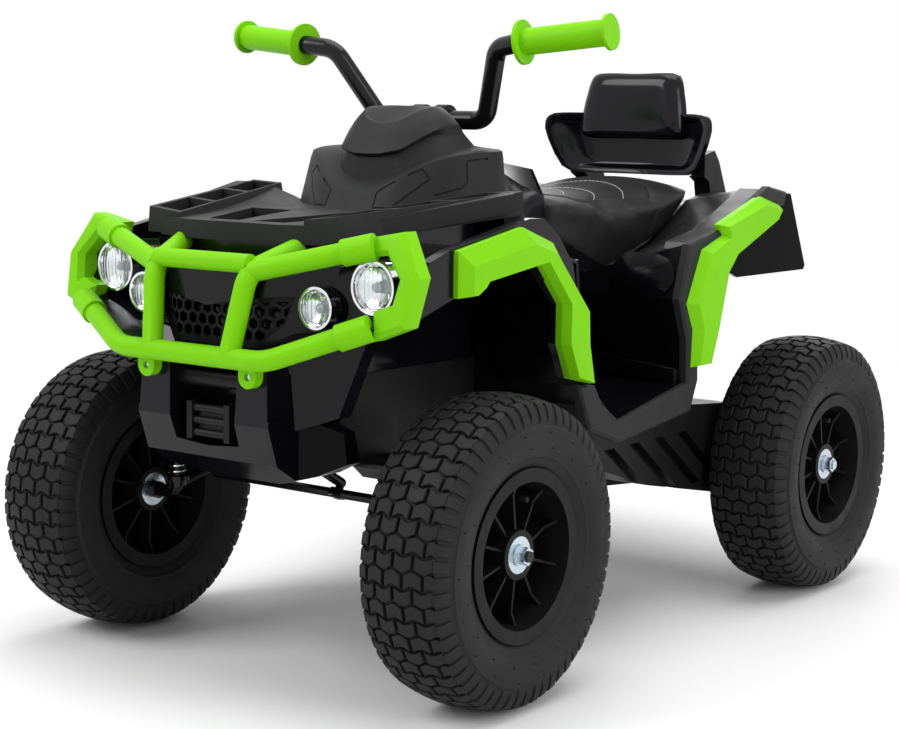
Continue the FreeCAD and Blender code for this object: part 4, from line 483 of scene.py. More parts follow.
moulding = {"weld": 0.00001, "flat": 0.6, "smooth": 32}
rigidPieces = (
    (limePlastic, "lime_plastic", 0.0022, 38, "bull_bar"),
    (limePlastic, "lime_plastic", 0.0034, 14, "front_flare_left front_flare_right"),
    (limePlastic, "lime_plastic", 0.0034, 14, "rear_flare_left rear_flare_right"),
    (limePlastic, "lime_plastic", 0.0010, 40, "grip_left grip_right"),
    (glossBlack, "gloss_black", 0.0012, 24, "front_body"),
    (glossBlack, "gloss_black", 0.0010, 26, "nose_panel"),
    (glossBlack, "gloss_black", 0.0012, 20, "rear_body"),
    # the footwell's inside takes the darker, duller copy of the gloss black: painted shade
    (shadedGlossBlack, "gloss_black", 0.0014, 20, "footwell_tub"),
    (glossBlack, "gloss_black", 0.0014, 16, "tank_cover"),
    (satinGrey, "satin_grey", 0.0024, 14, "front_deck"),
    (satinGrey, "satin_grey", 0.0010, 20, "footwell_frames"),
    (satinBlack, "satin_black", 0.0018, 14, "chassis_tub"),
    (glossBlack, "satin_black", 0.0022, 14, "front_fascia"),
    (satinBlack, "satin_black", 0.0010, 40, "winch_fairlead"),
    (satinBlack, "satin_black", 0.0004, 40, "grille"),
    (satinBlack, "satin_black", 0.0014, 40, "gearboxes"),
    (satinBlack, "satin_black", 0.0016, 20, "backrest_posts"),
    (satinBlack, "satin_black", 0.0008, 40, "throttle_pedal"),
    (satinBlack, "satin_black", 0.0006, 40, "direction_switch"),
    (redPlastic, "red_plastic", 0.0008, 40, "power_button"),
    (blackPaint, "black_paint", 0.0008, 40, "handlebar"),
    (satinBlack, "black_paint", 0.0010, 40, "handlebar_clamps"),
    (blackPaint, "black_paint", 0.0008, 40, "steering_column"),
    (blackPaint, "black_paint", 0.0006, 40, "tie_rod spindle_left spindle_right"),
    (blackPaint, "black_paint", 0.0004, 40, "spring_perch_left spring_perch_right"),
    (blackPaint, "black_paint", 0.0008, 40, "front_axle_beam"),
    (chrome, "chrome", 0.0005, 40, "headlight_bezels"),
    (zinc, "zinc", 0.0005, 40, "axle_nut_front_left axle_nut_front_right axle_nuts_rear"),
    (zinc, "zinc", 0.0004, 40, "rear_axle"),
    (rimPlastic, "rim_plastic", 0.0008, 40, "rim_front_left rim_front_right rim_rear_left rim_rear_right"))
plainNodes = {
    "steering_bushes": bushNylon, "battery": batteryCase, "drive_motors": motorCan,
    "bearings_front_left": zinc, "bearings_front_right": zinc, "bearings_rear_left": zinc,
    "bearings_rear_right": zinc}
bodies = frame["record"]["behaviour"]["bodies"]
bodyOf = {node: body for body, members in bodies.items() for node in members}


def weldedCopy(nodeName, name):
    piece = linkUp(name, nodes[nodeName].data.copy())
    pick(piece)
    bpy.ops.mesh.customdata_custom_splitnormals_clear()
    editAll(piece)
    bpy.ops.mesh.remove_doubles(threshold=moulding["weld"])
    bpy.ops.mesh.dissolve_limited(angle_limit=math.radians(moulding["flat"]))
    leaveEdit()
    return piece


# big flat faces keep their own light, the narrow bevels turn between them
def evenShade(piece):
    even = piece.modifiers.new("even", "WEIGHTED_NORMAL")
    even.keep_sharp = True
    applyAll(piece)


# decks are satin, and faces lying in shade by the wheels and on the fascia's sides get a darker, duller
# black as painted shade; each row gives the axis that the faces look along, how squarely they do, where
# along the bike they lie and how far from its middle
otherFaces = (
    ("rear_body", satinBlack, "z", 0.5, (-1, 1), 0.0),
    ("rear_body", deepShadedBlack, "x", 0.5, (0.2, 1), 0.19),
    ("tank_cover", satinBlack, "z", 0.5, (-1, 1), 0.0),
    ("chassis_tub", deepShadedBlack, "x", 0.9, (-1, -0.12), 0.0),
    ("front_fascia", shadedGlossBlack, "x", 0.4, (-1, 1), 0.09))


def tintFaces(piece, material, axis, steep, along, out):
    piece.data.materials.append(material)
    last = len(piece.data.materials) - 1
    for face in piece.data.polygons:
        lean = face.normal.z if axis == "z" else abs(face.normal.x)
        if lean > steep and along[0] < face.center.y < along[1] and abs(face.center.x) >= out:
            face.material_index = last


def dressRigid():
    for material, slot, width, degrees, names in rigidPieces:
        for nodeName in names.split():
            piece = weldedCopy(nodeName, nodeName + "_moulding")
            softenEdges(piece, width, degrees)
            smoothBy(piece, max(degrees, moulding["smooth"]))
            evenShade(piece)
            finishPiece(piece, material, bodyOf[nodeName], slot, nodeName)
    for nodeName, *choice in otherFaces:
        tintFaces(bpy.data.objects[nodeName + "_moulding"], *choice)
    for nodeName, material in plainNodes.items():
        nodes[nodeName].data.materials.clear()
        nodes[nodeName].data.materials.append(material)
    print("rigid pieces dressed")


dressRigid()


# turf tyres: a spun carcass with rows of chevron blocks wrapped round it

tyre = {
    "radius": 0.165, "crownDrop": 0.007, "treadHalf": 0.046, "grooveDepth": 0.0046, "shoulderSink": 0.0021,
    "sideOut": 0.055, "sideMiddle": 0.1245, "beadHalf": 0.042, "beadTop": 0.0914, "beadFoot": 0.0845,
    "beadLip": 0.008, "crownSteps": 8, "sideSteps": 34, "spinSteps": 168, "smooth": 32,
    "rows": 60, "columnWidth": 0.0232, "groove": 0.0026, "wave": 0.0021, "waveFlat": 0.24, "draft": 0.92,
    "root": 1.3, "chamfer": 0.0006, "edgeOut": 2.04, "edgeWave": 0.6,
    "barReach": 0.024, "barShort": 0.86, "barWidth": 0.0136, "barHeight": 0.0026, "barLap": 0.0012,
    "barSteps": 4, "barTaper": (0.98, 0.84, 1), "barFade": 5, "sinkFade": 0.004,
    "ringRidge": 0.0008, "ringShare": 0.6, "rings": (0.0255, 0.0575),
    "nubRings": (0.031, 0.046), "nubs": 18, "nubSides": 6, "nubSize": 0.0009, "nubTip": 0.5,
    "nubHeight": 0.003, "nubLift": 0.0004}
wheels = {        # where each stands, and how far it is turned
    "front_left": (0.266, -0.3375, 0.0), "front_right": (-0.266, -0.3375, 0.9),
    "rear_left": (0.266, 0.3545, 1.7), "rear_right": (-0.266, 0.3545, 2.6)}


def circleThrough(a, b, c):
    d = 2 * (a[0] * (b[1] - c[1]) + b[0] * (c[1] - a[1]) + c[0] * (a[1] - b[1]))
    s = [p[0] ** 2 + p[1] ** 2 for p in (a, b, c)]
    x = (s[0] * (b[1] - c[1]) + s[1] * (c[1] - a[1]) + s[2] * (a[1] - b[1])) / d
    y = (s[0] * (c[0] - b[0]) + s[1] * (a[0] - c[0]) + s[2] * (b[0] - a[0])) / d
    return x, y, math.hypot(a[0] - x, a[1] - y)


shoulder = (tyre["treadHalf"], tyre["radius"] - tyre["crownDrop"])
bead = (tyre["beadHalf"], tyre["beadTop"])
sideCircle = circleThrough(shoulder, (tyre["sideOut"], tyre["sideMiddle"]), bead)


# a point of the tyre's skin: across is measured over the tread and then down the sidewall
def onSkin(across, lift):
    size = abs(across)
    sign = 1 if across >= 0 else -1
    if size <= tyre["treadHalf"]:
        return across, tyre["radius"] - tyre["crownDrop"] * (size / tyre["treadHalf"]) ** 2 + lift
    x, y, r = sideCircle
    start = math.atan2(shoulder[1] - y, shoulder[0] - x)
    turn = start - (size - tyre["treadHalf"]) / r
    return sign * (x + (r + lift) * math.cos(turn)), y + (r + lift) * math.sin(turn)


def carcassProfile():
    edge = tyre["treadHalf"]
    x, y, r = sideCircle
    foot = math.atan2(bead[1] - y, bead[0] - x)
    start = math.atan2(shoulder[1] - y, shoulder[0] - x)
    crown = tyre["crownSteps"]
    half = [onSkin(edge * i / crown, -tyre["grooveDepth"]) for i in range(crown + 1)]
    step = (start - foot) * r / tyre["sideSteps"]
    fade = tyre["sinkFade"]
    for i in range(1, tyre["sideSteps"] + 1):
        down = step * i
        sunk = min(1.0, max(0.0, (tyre["barReach"] + fade / 2 - down) / fade))
        lift = -tyre["shoulderSink"] * sunk
        if any(abs(down - ring) < step * tyre["ringShare"] for ring in tyre["rings"]):
            lift += tyre["ringRidge"]      # raised rings on the sidewall
        half.append(onSkin(edge + down, lift))
    half.append((tyre["beadHalf"], tyre["beadFoot"]))
    half.append((tyre["beadHalf"] - tyre["beadLip"], tyre["beadFoot"]))
    return half + [(-x, r) for x, r in reversed(half[1:])]


def spinCarcass():
    profile = ringThrough([(x, 0, r) for x, r in carcassProfile()])
    return spinRound(profile, (1, 0, 0), tyre["spinSteps"])


# one block, flat: u across the tread, v round it, its top at height zero
def treadBlock(left, right, halfLength, wave):
    flat = tyre["waveFlat"] * (right - left) / 2
    middle = (left + right) / 2
    outline = (
        (left, halfLength + wave), (middle - flat, halfLength - wave), (middle + flat, halfLength - wave),
        (right, halfLength + wave), (right, wave - halfLength), (middle + flat, -halfLength - wave),
        (middle - flat, -halfLength - wave), (left, wave - halfLength))
    tall = tyre["grooveDepth"] * tyre["root"]        # a block is rooted in the carcass
    block = ringThrough([(u, v, -tall) for u, v in outline], "NGON")
    editAll(block)
    bpy.ops.mesh.extrude_region_move(TRANSFORM_OT_translate={"value": (0, 0, tall)})
    draft = tyre["draft"]
    bpy.ops.transform.resize(value=(draft, draft, 1), center_override=(middle, 0, 0))
    bpy.ops.mesh.bevel(offset=tyre["chamfer"], segments=1, affect="EDGES")
    leaveEdit()
    closeUp(block)
    return block


# a low bar that runs from the tread's edge down the sidewall and dies out there
def shoulderBar(sign, reach):
    near = sign * (tyre["treadHalf"] - tyre["barLap"])
    far = sign * (tyre["treadHalf"] + reach)
    high = tyre["barHeight"]
    bpy.ops.mesh.primitive_grid_add(x_subdivisions=tyre["barSteps"], y_subdivisions=1, size=1)
    bar = bpy.context.active_object
    for vertex in bar.data.vertices:
        vertex.co = (near + (far - near) * (vertex.co.x + 0.5), tyre["barWidth"] * vertex.co.y, -high)
    editAll(bar)
    bpy.ops.mesh.extrude_region_move(TRANSFORM_OT_translate={"value": (0, 0, high)})
    bpy.ops.transform.resize(value=tyre["barTaper"], center_override=((near + far) / 2, 0, 0))
    leaveEdit()
    for vertex in bar.data.vertices:
        fade = max(0.0, (abs(vertex.co.x) - tyre["treadHalf"]) / reach)
        vertex.co.z -= tyre["shoulderSink"] * fade ** tyre["barFade"]
    closeUp(bar)
    return bar


# a moulding nub: what is left where the mould let the air out
def rubberNub(across):
    size = tyre["nubSize"]
    bpy.ops.mesh.primitive_cone_add(
        vertices=tyre["nubSides"], radius1=size, radius2=size * tyre["nubTip"], depth=tyre["nubHeight"])
    nub = bpy.context.active_object
    nub.data.transform(Matrix.Translation((across, 0, tyre["nubLift"])))
    return nub


def rowsOf(block, start, count, step):
    block.location.y = start
    settle(block)
    rows = block.modifiers.new("rows", "ARRAY")
    rows.count = count
    rows.use_relative_offset = False
    rows.use_constant_offset = True
    rows.constant_offset_displace = (0, step, 0)
    applyAll(block)
    return block


def wrapRound(sheet):
    for vertex in sheet.data.vertices:
        across, along, lift = vertex.co
        x, r = onSkin(across, lift)
        turn = along / tyre["radius"]
        vertex.co = (x, r * math.sin(turn), r * math.cos(turn))
    closeUp(sheet)
    return sheet


def buildTyre():
    pitch = 2 * math.pi * tyre["radius"] / tyre["rows"]
    half = pitch / 2 - tyre["groove"] / 2
    column = tyre["columnWidth"]
    slit = tyre["groove"] / 2
    pairs = tyre["rows"] // 2
    sheets = []
    for i in (-2, -1, 0, 1):
        block = treadBlock(i * column + slit, (i + 1) * column - slit, half, tyre["wave"])
        sheets.append(rowsOf(block, 0, pairs, 2 * pitch))
    for i in (-1.5, -0.5, 0.5):      # every other row sits half a block over, its chevrons turned round
        block = treadBlock(i * column + slit, (i + 1) * column - slit, half, -tyre["wave"])
        sheets.append(rowsOf(block, pitch, pairs, 2 * pitch))
    for sign in (-1, 1):
        edges = sorted((sign * (1.5 * column + slit), sign * tyre["edgeOut"] * column))
        block = treadBlock(*edges, half, -tyre["wave"] * tyre["edgeWave"])
        sheets.append(rowsOf(block, pitch, pairs, 2 * pitch))
        sheets.append(rowsOf(shoulderBar(sign, tyre["barReach"]), pitch, pairs, 2 * pitch))
        sheets.append(rowsOf(shoulderBar(sign, tyre["barReach"] * tyre["barShort"]), 0, pairs, 2 * pitch))
        for down in tyre["nubRings"]:
            nub = rubberNub(sign * (tyre["treadHalf"] + down))
            sheets.append(rowsOf(nub, down, tyre["nubs"], 2 * math.pi * tyre["radius"] / tyre["nubs"]))
    tread = wrapRound(joinAll(sheets, "turfTread"))
    return joinAll([tread, spinCarcass()], "turfTyre")


def fitTyres():
    master = buildTyre()
    smoothBy(master, tyre["smooth"])
    for place, (x, y, turn) in wheels.items():
        piece = linkUp("turf_tyre_" + place, master.data.copy())
        piece.data.transform(Matrix.Translation((x, y, tyre["radius"])) @ Matrix.Rotation(turn, 4, "X"))
        finishPiece(piece, tyreRubber, "wheel_" + place, "tyre_rubber", "tyre_" + place)
    bpy.data.objects.remove(master)
    print("tyres fitted")


fitTyres()


# coil springs under the axle plate, one on each suspension strut

spring = {
    "kingpin": 0.190, "axleY": -0.3375, "foot": 0.185, "top": 0.223, "coil": 0.0097, "wire": 0.0013,
    "turns": 5, "clear": 0.0003, "sides": 10, "steps": 28, "travel": 0.012, "smooth": 60}


def windSpring(side, sign):
    pitch = (spring["top"] - spring["foot"] - 2 * spring["wire"] - 2 * spring["clear"]) / spring["turns"]
    bpy.ops.mesh.primitive_circle_add(
        vertices=spring["sides"], radius=spring["wire"], rotation=(math.pi / 2, 0, 0))
    coil = bpy.context.active_object
    coil.location = (spring["coil"], 0, 0)
    settle(coil)
    screw = coil.modifiers.new("winding", "SCREW")
    screw.axis = "Z"
    screw.screw_offset = pitch
    screw.iterations = spring["turns"]
    screw.steps = spring["steps"]
    screw.render_steps = spring["steps"]
    applyAll(coil)
    editAll(coil)
    bpy.ops.mesh.select_all(action="DESELECT")
    bpy.ops.mesh.select_non_manifold()
    bpy.ops.mesh.fill_holes(sides=0)
    leaveEdit()
    foot = spring["foot"] + spring["wire"] + spring["clear"]
    coil.location = (sign * spring["kingpin"], spring["axleY"], foot)
    settle(coil)
    closeUp(coil)
    smoothBy(coil, spring["smooth"])
    coil.name = "coil_spring_" + side
    finishPiece(coil, chrome, "strut_" + side, "chrome", "front_spring_" + side)
    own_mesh(coil)


windSpring("left", 1)
windSpring("right", -1)
print("springs wound")


# seat pad: a saddle of leatherette over foam, filled by a cloth run, then sewn

seat = {
    "voxel": 0.005, "swell": 0.0015, "round": (0.6, 12), "spread": 0.006, "heldBelow": -0.55, "fill": 0.8,
    "pressure": 2.2, "quality": 4, "stretch": 40, "bending": 12, "frames": 20, "cap": 0.005,
    "calm": (0.5, 6),
    "seamWidth": 0.0048, "seamDepth": 0.0026, "seamTop": 0.2, "seamSide": -0.4,
    "thread": 0.0006, "stitch": 0.0052, "stitchGap": 0.0018, "arcStretch": 1.04, "threadRise": 0.5,
    "threadDip": 0.3, "threadSmooth": 60,
    "sideSeam": ((0.052, 0.045), (0.083, 0.085), (0.094, 0.135), (0.099, 0.185), (0.099, 0.232)),
    "bolsterSeam": ((0.0, 0.281), (0.040, 0.277), (0.072, 0.264), (0.093, 0.243), (0.104, 0.226)),
    "bolsterY": (0.226, 0.206), "bolsterZ": (0.492, 0.455),
    "arcs": (((0.0, 0.128), (0.038, 0.112), (0.066, 0.080)),
             ((0.0, 0.186), (0.046, 0.170), (0.080, 0.127)),
             ((0.0, 0.245), (0.048, 0.230), (0.086, 0.188)))}


def distanceTo(point, line):
    best = 1.0
    for start, end in zip(line, line[1:]):
        a, b = Vector(start), Vector(end)
        share = max(0.0, min(1.0, (point - a).dot(b - a) / (b - a).length_squared))
        best = min(best, (point - a - (b - a) * share).length)
    return best


# pull a seam into the cover: a narrow valley along its line
def sewSeams(pad):
    side = list(zip(seat["bolsterY"], seat["bolsterZ"]))
    normals = [vertex.normal.copy() for vertex in pad.data.vertices]
    for vertex, normal in zip(pad.data.vertices, normals):
        spot = Vector((abs(vertex.co.x), vertex.co.y))
        near = 1.0
        if normal.z > seat["seamTop"]:
            near = min(distanceTo(spot, seat["sideSeam"]), distanceTo(spot, seat["bolsterSeam"]))
        elif normal.z > seat["seamSide"]:
            near = distanceTo(Vector((vertex.co.y, vertex.co.z)), side)
        pull = max(0.0, 1 - near / seat["seamWidth"])
        vertex.co -= normal * seat["seamDepth"] * pull * pull


# the sides spread to meet the mouldings round them
def spreadSides(pad):
    normals = [vertex.normal.copy() for vertex in pad.data.vertices]
    for vertex, normal in zip(pad.data.vertices, normals):
        vertex.co += normal * seat["spread"] * (1 - abs(normal.z))


# a cloth run with air inside fills the cover, which is held where it faces down
def fillWithAir(pad):
    rest = [vertex.co.copy() for vertex in pad.data.vertices]
    held = pad.vertex_groups.new(name="held")
    underneath = [vertex.index for vertex in pad.data.vertices if vertex.normal.z < seat["heldBelow"]]
    held.add(underneath, 1.0, "REPLACE")
    cloth = pad.modifiers.new("cloth", "CLOTH")
    cloth.settings.quality = seat["quality"]
    cloth.settings.use_pressure = True
    cloth.settings.uniform_pressure_force = seat["pressure"]
    cloth.settings.vertex_group_mass = "held"
    cloth.settings.effector_weights.gravity = 0
    cloth.settings.tension_stiffness = seat["stretch"]
    cloth.settings.compression_stiffness = seat["stretch"]
    cloth.settings.bending_stiffness = seat["bending"]
    scene = bpy.context.scene
    for number in range(1, seat["frames"] + 1):
        scene.frame_set(number)
    applyAll(pad)
    scene.frame_set(1)
    for vertex, was in zip(pad.data.vertices, rest):        # no part of the cover swells past the cap
        step = vertex.co - was
        if step.length > seat["cap"]:
            vertex.co = was + step.normalized() * seat["cap"]


def padSeat():
    pad = weldedCopy("seat_pad", "seat_cushion")
    swell = pad.modifiers.new("swell", "DISPLACE")
    swell.strength = seat["swell"]
    swell.mid_level = 0.0
    remesh = pad.modifiers.new("remesh", "REMESH")
    remesh.mode = "VOXEL"
    remesh.voxel_size = seat["voxel"]
    relax(pad, *seat["round"])
    spreadSides(pad)
    fillWithAir(pad)
    relax(pad, *seat["calm"])
    refine(pad, 1)
    sewSeams(pad)
    pick(pad)
    bpy.ops.object.shade_smooth()
    finishPiece(pad, leatherette, "chassis", "leatherette", "seat_pad")
    print("seat padded")
    return pad


def curvePoint(a, b, c, share):
    return a * (1 - share) ** 2 + b * 2 * share * (1 - share) + c * share ** 2


# three arched rows of pale stitches across the saddle
def stitchSeat(pad):
    data = startTube("stitches", seat["thread"])
    pitch = seat["stitch"] + seat["stitchGap"]
    for arc in seat["arcs"]:
        a, b, c = [Vector(p) for p in arc]
        b = b * 2 - (a + c) / 2      # the curve passes through its middle point
        count = int((c - a).length * seat["arcStretch"] / pitch)
        for sign in (-1, 1):
            for i in range(count):
                spline = data.splines.new("POLY")
                spline.points.add(2)
                for j, point in enumerate(spline.points):
                    share = (i + j / 2 * seat["stitch"] / pitch) / count
                    x, y = curvePoint(a, b, c, share)
                    hit, spot, normal, face = pad.ray_cast(Vector((sign * x, y, 1.0)), Vector((0, 0, -1)))
                    lift = seat["thread"] * (seat["threadRise"] if j == 1 else -seat["threadDip"])
                    point.co = (*(spot + normal * lift), 1)
    rows = meshFrom("seat_stitches", data)
    smoothBy(rows, seat["threadSmooth"])
    finishPiece(rows, seatThread, "chassis", "leatherette")
    print("seat stitched")


stitchSeat(padSeat())


# backrest: a dished bucket with a rolled rim, and a hard pad standing on its front

backrest = {
    "bucket": ((0.0, 0.533), (0.060, 0.533), (0.094, 0.534), (0.108, 0.541), (0.119, 0.558),
               (0.128, 0.578), (0.1330, 0.594), (0.1320, 0.606), (0.124, 0.614), (0.105, 0.6155),
               (0.060, 0.6155), (0.0, 0.6155)),
    "bucketMiddle": (0.355, 0.574), "wing": 0.026, "dish": 0.010, "rim": 0.93, "rimTurn": 8, "wall": 0.007,
    "bucketEdge": 0.0026, "bucketSmooth": 50,
    "pad": ((0.0, 0.580), (0.050, 0.580), (0.076, 0.5805), (0.0850, 0.587), (0.0855, 0.600),
            (0.0815, 0.628), (0.0745, 0.656), (0.069, 0.667), (0.060, 0.6712), (0.040, 0.672),
            (0.0, 0.672)),
    "padMiddle": (0.3525, 0.627), "padLean": 0.10, "padDepth": 0.022, "padEdge": 7.0, "padSeam": 0.0001,
    "padCalm": (0.5, 4), "padSmooth": 60, "grid": 40}


# the panel's edge, as far out as its outline is in the direction asked for
def edgeReach(outline, middle, angle):
    line = [Vector((x, z - middle)) for x, z in outline]
    line += [Vector((-p.x, p.y)) for p in reversed(line[1:-1])]
    aim = Vector((math.cos(angle), math.sin(angle)))
    for a, b in zip(line, line[1:] + line[:1]):
        cross = aim.x * (b.y - a.y) - aim.y * (b.x - a.x)
        if abs(cross) < 1e-12:
            continue
        far = (a.x * (b.y - a.y) - a.y * (b.x - a.x)) / cross
        share = (a.x * aim.y - a.y * aim.x) / cross
        if far > 0 and -1e-9 <= share <= 1 + 1e-9:
            return far
    return line[0].length


# a square grid pressed into the outline; depthAt gives how far back each point lies
def pressedPanel(name, outline, middle, depthAt):
    count = backrest["grid"]
    bpy.ops.mesh.primitive_grid_add(x_subdivisions=count, y_subdivisions=count, size=2)
    panel = bpy.context.active_object
    panel.name = name
    for vertex in panel.data.vertices:
        x, y = vertex.co.x, vertex.co.y
        u, v = x * math.sqrt(1 - y * y / 2), y * math.sqrt(1 - x * x / 2)
        out = min(1.0, math.hypot(u, v))
        reach = edgeReach(outline, middle, math.atan2(v, u))
        side, rise = u * reach, v * reach
        vertex.co = (side, depthAt(out, side, rise), middle + rise)
    return panel


def makeBucket():
    y, z = backrest["bucketMiddle"]
    half = max(x for x, height in backrest["bucket"])

    def depthAt(out, side, rise):
        bowl = backrest["dish"] * max(0.0, 1 - (out / backrest["rim"]) ** backrest["rimTurn"])
        return y - backrest["wing"] * (side / half) ** 2 + bowl

    bucket = pressedPanel("backrest_bucket", backrest["bucket"], z, depthAt)
    thicken(bucket, backrest["wall"], offset=1.0)
    closeUp(bucket)
    softenEdges(bucket, backrest["bucketEdge"], backrest["bucketSmooth"], segments=4)
    smoothBy(bucket, backrest["bucketSmooth"])
    finishPiece(bucket, glossBlack, "chassis", "gloss_black", "backrest_shell")


def makeHardPad():
    y, z = backrest["padMiddle"]

    def rearAt(out, side, rise):
        return y + backrest["padLean"] * rise

    def frontAt(out, side, rise):
        return rearAt(out, side, rise) - backrest["padDepth"] * (1 - out ** backrest["padEdge"]) ** 0.5

    front = pressedPanel("front", backrest["pad"], z, frontAt)
    rear = pressedPanel("rear", backrest["pad"], z, rearAt)
    pad = joinAll([rear, front], "backrest_hard_pad")
    closeUp(pad, backrest["padSeam"])
    relax(pad, *backrest["padCalm"])
    smoothBy(pad, backrest["padSmooth"])
    finishPiece(pad, glossBlack, "chassis", "gloss_black", "backrest_pad")


makeBucket()
makeHardPad()
print("backrest made")


# pressings in the footwells' rear walls: a knee bulge, and a ledge at the foot of the wall

well = {
    "bulge": ((0.0, -0.025), (0.020, -0.024), (0.036, -0.017), (0.044, -0.004), (0.043, 0.008),
              (0.034, 0.019), (0.018, 0.0245), (0.0, 0.025)),
    "bulgeAt": (0.186, 0.0772, 0.4205), "lean": 0.29, "swell": 0.012, "sink": 0.0008, "wall": 0.004,
    "ledgeX": (0.1035, 0.2340), "ledgeY": (0.0790, 0.0925), "ledgeZ": (0.292, 0.3175), "ledgeFall": 0.09,
    "ledgeEdge": 0.003}


def kneeBulge(sign):
    x, y, z = well["bulgeAt"]

    def depthAt(out, side, rise):
        return well["lean"] * rise + well["sink"] - well["swell"] * (1 - out ** 2)

    bulge = pressedPanel("kneeBulge", well["bulge"], 0.0, depthAt)
    bulge.location = (sign * x, y, z)
    settle(bulge)
    thicken(bulge, well["wall"], offset=1.0)
    closeUp(bulge)
    return bulge


def wallLedge(sign):
    low, high = zip(well["ledgeX"], well["ledgeY"], well["ledgeZ"])
    middle = [(a + b) / 2 for a, b in zip(low, high)]
    size = [b - a for a, b in zip(low, high)]
    bpy.ops.mesh.primitive_cube_add(size=1, location=(sign * middle[0], middle[1], middle[2]), scale=size)
    ledge = bpy.context.active_object
    settle(ledge)
    softenEdges(ledge, well["ledgeEdge"], segments=3)
    for vertex in ledge.data.vertices:
        vertex.co.z -= well["ledgeFall"] * (abs(vertex.co.x) - middle[0])
    return ledge


def pressWells():
    pressings = []
    for sign in (-1, 1):
        pressings += [kneeBulge(sign), wallLedge(sign)]
    both = joinAll(pressings, "footwell_pressings")
    smoothBy(both)
    # the pressings take the footwell's darker, duller copy of the gloss black: painted shade
    finishPiece(both, shadedGlossBlack, "chassis", "gloss_black")
    print("footwells pressed")


pressWells()


# steering cowl: collar, visor band and hood from one cage; each row runs from the middle round to the rear

cowl = {
    "rows": (
        ((0, -0.266, 0.498), (0.033, -0.264, 0.498), (0.066, -0.251, 0.498), (0.098, -0.228, 0.498),
         (0.133, -0.198, 0.498), (0.134, -0.1295, 0.498), (0.024, -0.1295, 0.498)),
        ((0, -0.246, 0.520), (0.031, -0.246, 0.526), (0.056, -0.236, 0.541), (0.085, -0.213, 0.562),
         (0.119, -0.190, 0.571), (0.127, -0.131, 0.573), (0.024, -0.131, 0.573)),
        ((0, -0.222, 0.538), (0.019, -0.2215, 0.540), (0.046, -0.215, 0.548), (0.073, -0.182, 0.566),
         (0.087, -0.152, 0.574), (0.084, -0.129, 0.576), (0.024, -0.128, 0.577)),
        ((0, -0.2195, 0.562), (0.0185, -0.219, 0.563), (0.040, -0.213, 0.568), (0.058, -0.180, 0.588),
         (0.071, -0.156, 0.589), (0.071, -0.133, 0.590), (0.024, -0.132, 0.591)),
        ((0, -0.2265, 0.566), (0.020, -0.2255, 0.567), (0.0445, -0.2185, 0.572), (0.0635, -0.179, 0.594),
         (0.069, -0.155, 0.599), (0.066, -0.136, 0.600), (0.024, -0.135, 0.601)),
        ((0, -0.217, 0.585), (0.0235, -0.214, 0.587), (0.043, -0.205, 0.592), (0.056, -0.177, 0.608),
         (0.058, -0.156, 0.613), (0.055, -0.140, 0.613), (0.024, -0.139, 0.613)),
        ((0, -0.1965, 0.600), (0.0245, -0.1945, 0.6045), (0.037, -0.187, 0.613), (0.0455, -0.171, 0.619),
         (0.0465, -0.155, 0.621), (0.044, -0.143, 0.620), (0.022, -0.142, 0.619)),
        ((0, -0.192, 0.5995), (0.0225, -0.190, 0.6040), (0.034, -0.183, 0.6125), (0.041, -0.169, 0.6185),
         (0.042, -0.155, 0.621), (0.039, -0.1435, 0.6205), (0.021, -0.1425, 0.6195)),
        ((0, -0.163, 0.6165), (0.015, -0.161, 0.618), (0.021, -0.158, 0.6205), (0.024, -0.154, 0.622),
         (0.024, -0.150, 0.622), (0.023, -0.1445, 0.621), (0.016, -0.1435, 0.620)),
        ((0, -0.160, 0.6175), (0, -0.158, 0.619), (0, -0.156, 0.620), (0, -0.153, 0.621),
         (0, -0.150, 0.621), (0, -0.1455, 0.6205), (0, -0.144, 0.620))),
    "rowSharp": {0: 1.0, 1: 0.85, 2: 1.0, 3: 1.0, 4: 0.9, 6: 0.8, 7: 0.9},
    "columnSharp": {1: (1, 2, 3), 2: (1, 2, 3), 3: (2, 3), 5: (0, 1, 2, 3, 4, 5), 6: (0, 1, 2, 3, 4, 5)},
    "columnCrease": 0.9, "levels": 3, "wall": 0.003, "smooth": 34, "groove": 0.0014, "grooveSteps": 8,
    "sideGap": ((0.124, -0.134, 0.5630), (0.122, -0.165, 0.5625), (0.1205, -0.191, 0.5615),
                (0.124, -0.194, 0.537), (0.119, -0.201, 0.531), (0.093, -0.225, 0.521)),
    "vent": ((0.036, -0.2585, 0.508), (0.034, -0.2475, 0.525), (0.078, -0.2210, 0.551),
             (0.089, -0.2215, 0.541), (0.057, -0.2520, 0.508))}


# the cage starts as a flat grid whose points are carried to their places
def cowlCage():
    rows = cowl["rows"]
    reach = len(rows[0]) - 1
    bpy.ops.mesh.primitive_grid_add(x_subdivisions=2 * reach, y_subdivisions=len(rows) - 1, size=2)
    cage = bpy.context.active_object
    cage.name = "cowl_shell"
    places = {}
    for vertex in cage.data.vertices:
        column = round(vertex.co.x * reach)
        row = round((vertex.co.y + 1) / 2 * (len(rows) - 1))
        places[vertex.index] = (row, column)
        x, y, z = rows[row][abs(column)]
        vertex.co = (math.copysign(x, column), y, z)
    sharp = cage.data.attributes.new("crease_edge", "FLOAT", "EDGE")
    for edge in cage.data.edges:
        (rowA, columnA), (rowB, columnB) = (places[i] for i in edge.vertices)
        if rowA == rowB:
            sharp.data[edge.index].value = cowl["rowSharp"].get(rowA, 0.0)
        elif min(rowA, rowB) in cowl["columnSharp"].get(abs(columnA), ()):
            sharp.data[edge.index].value = cowl["columnCrease"]
    return cage


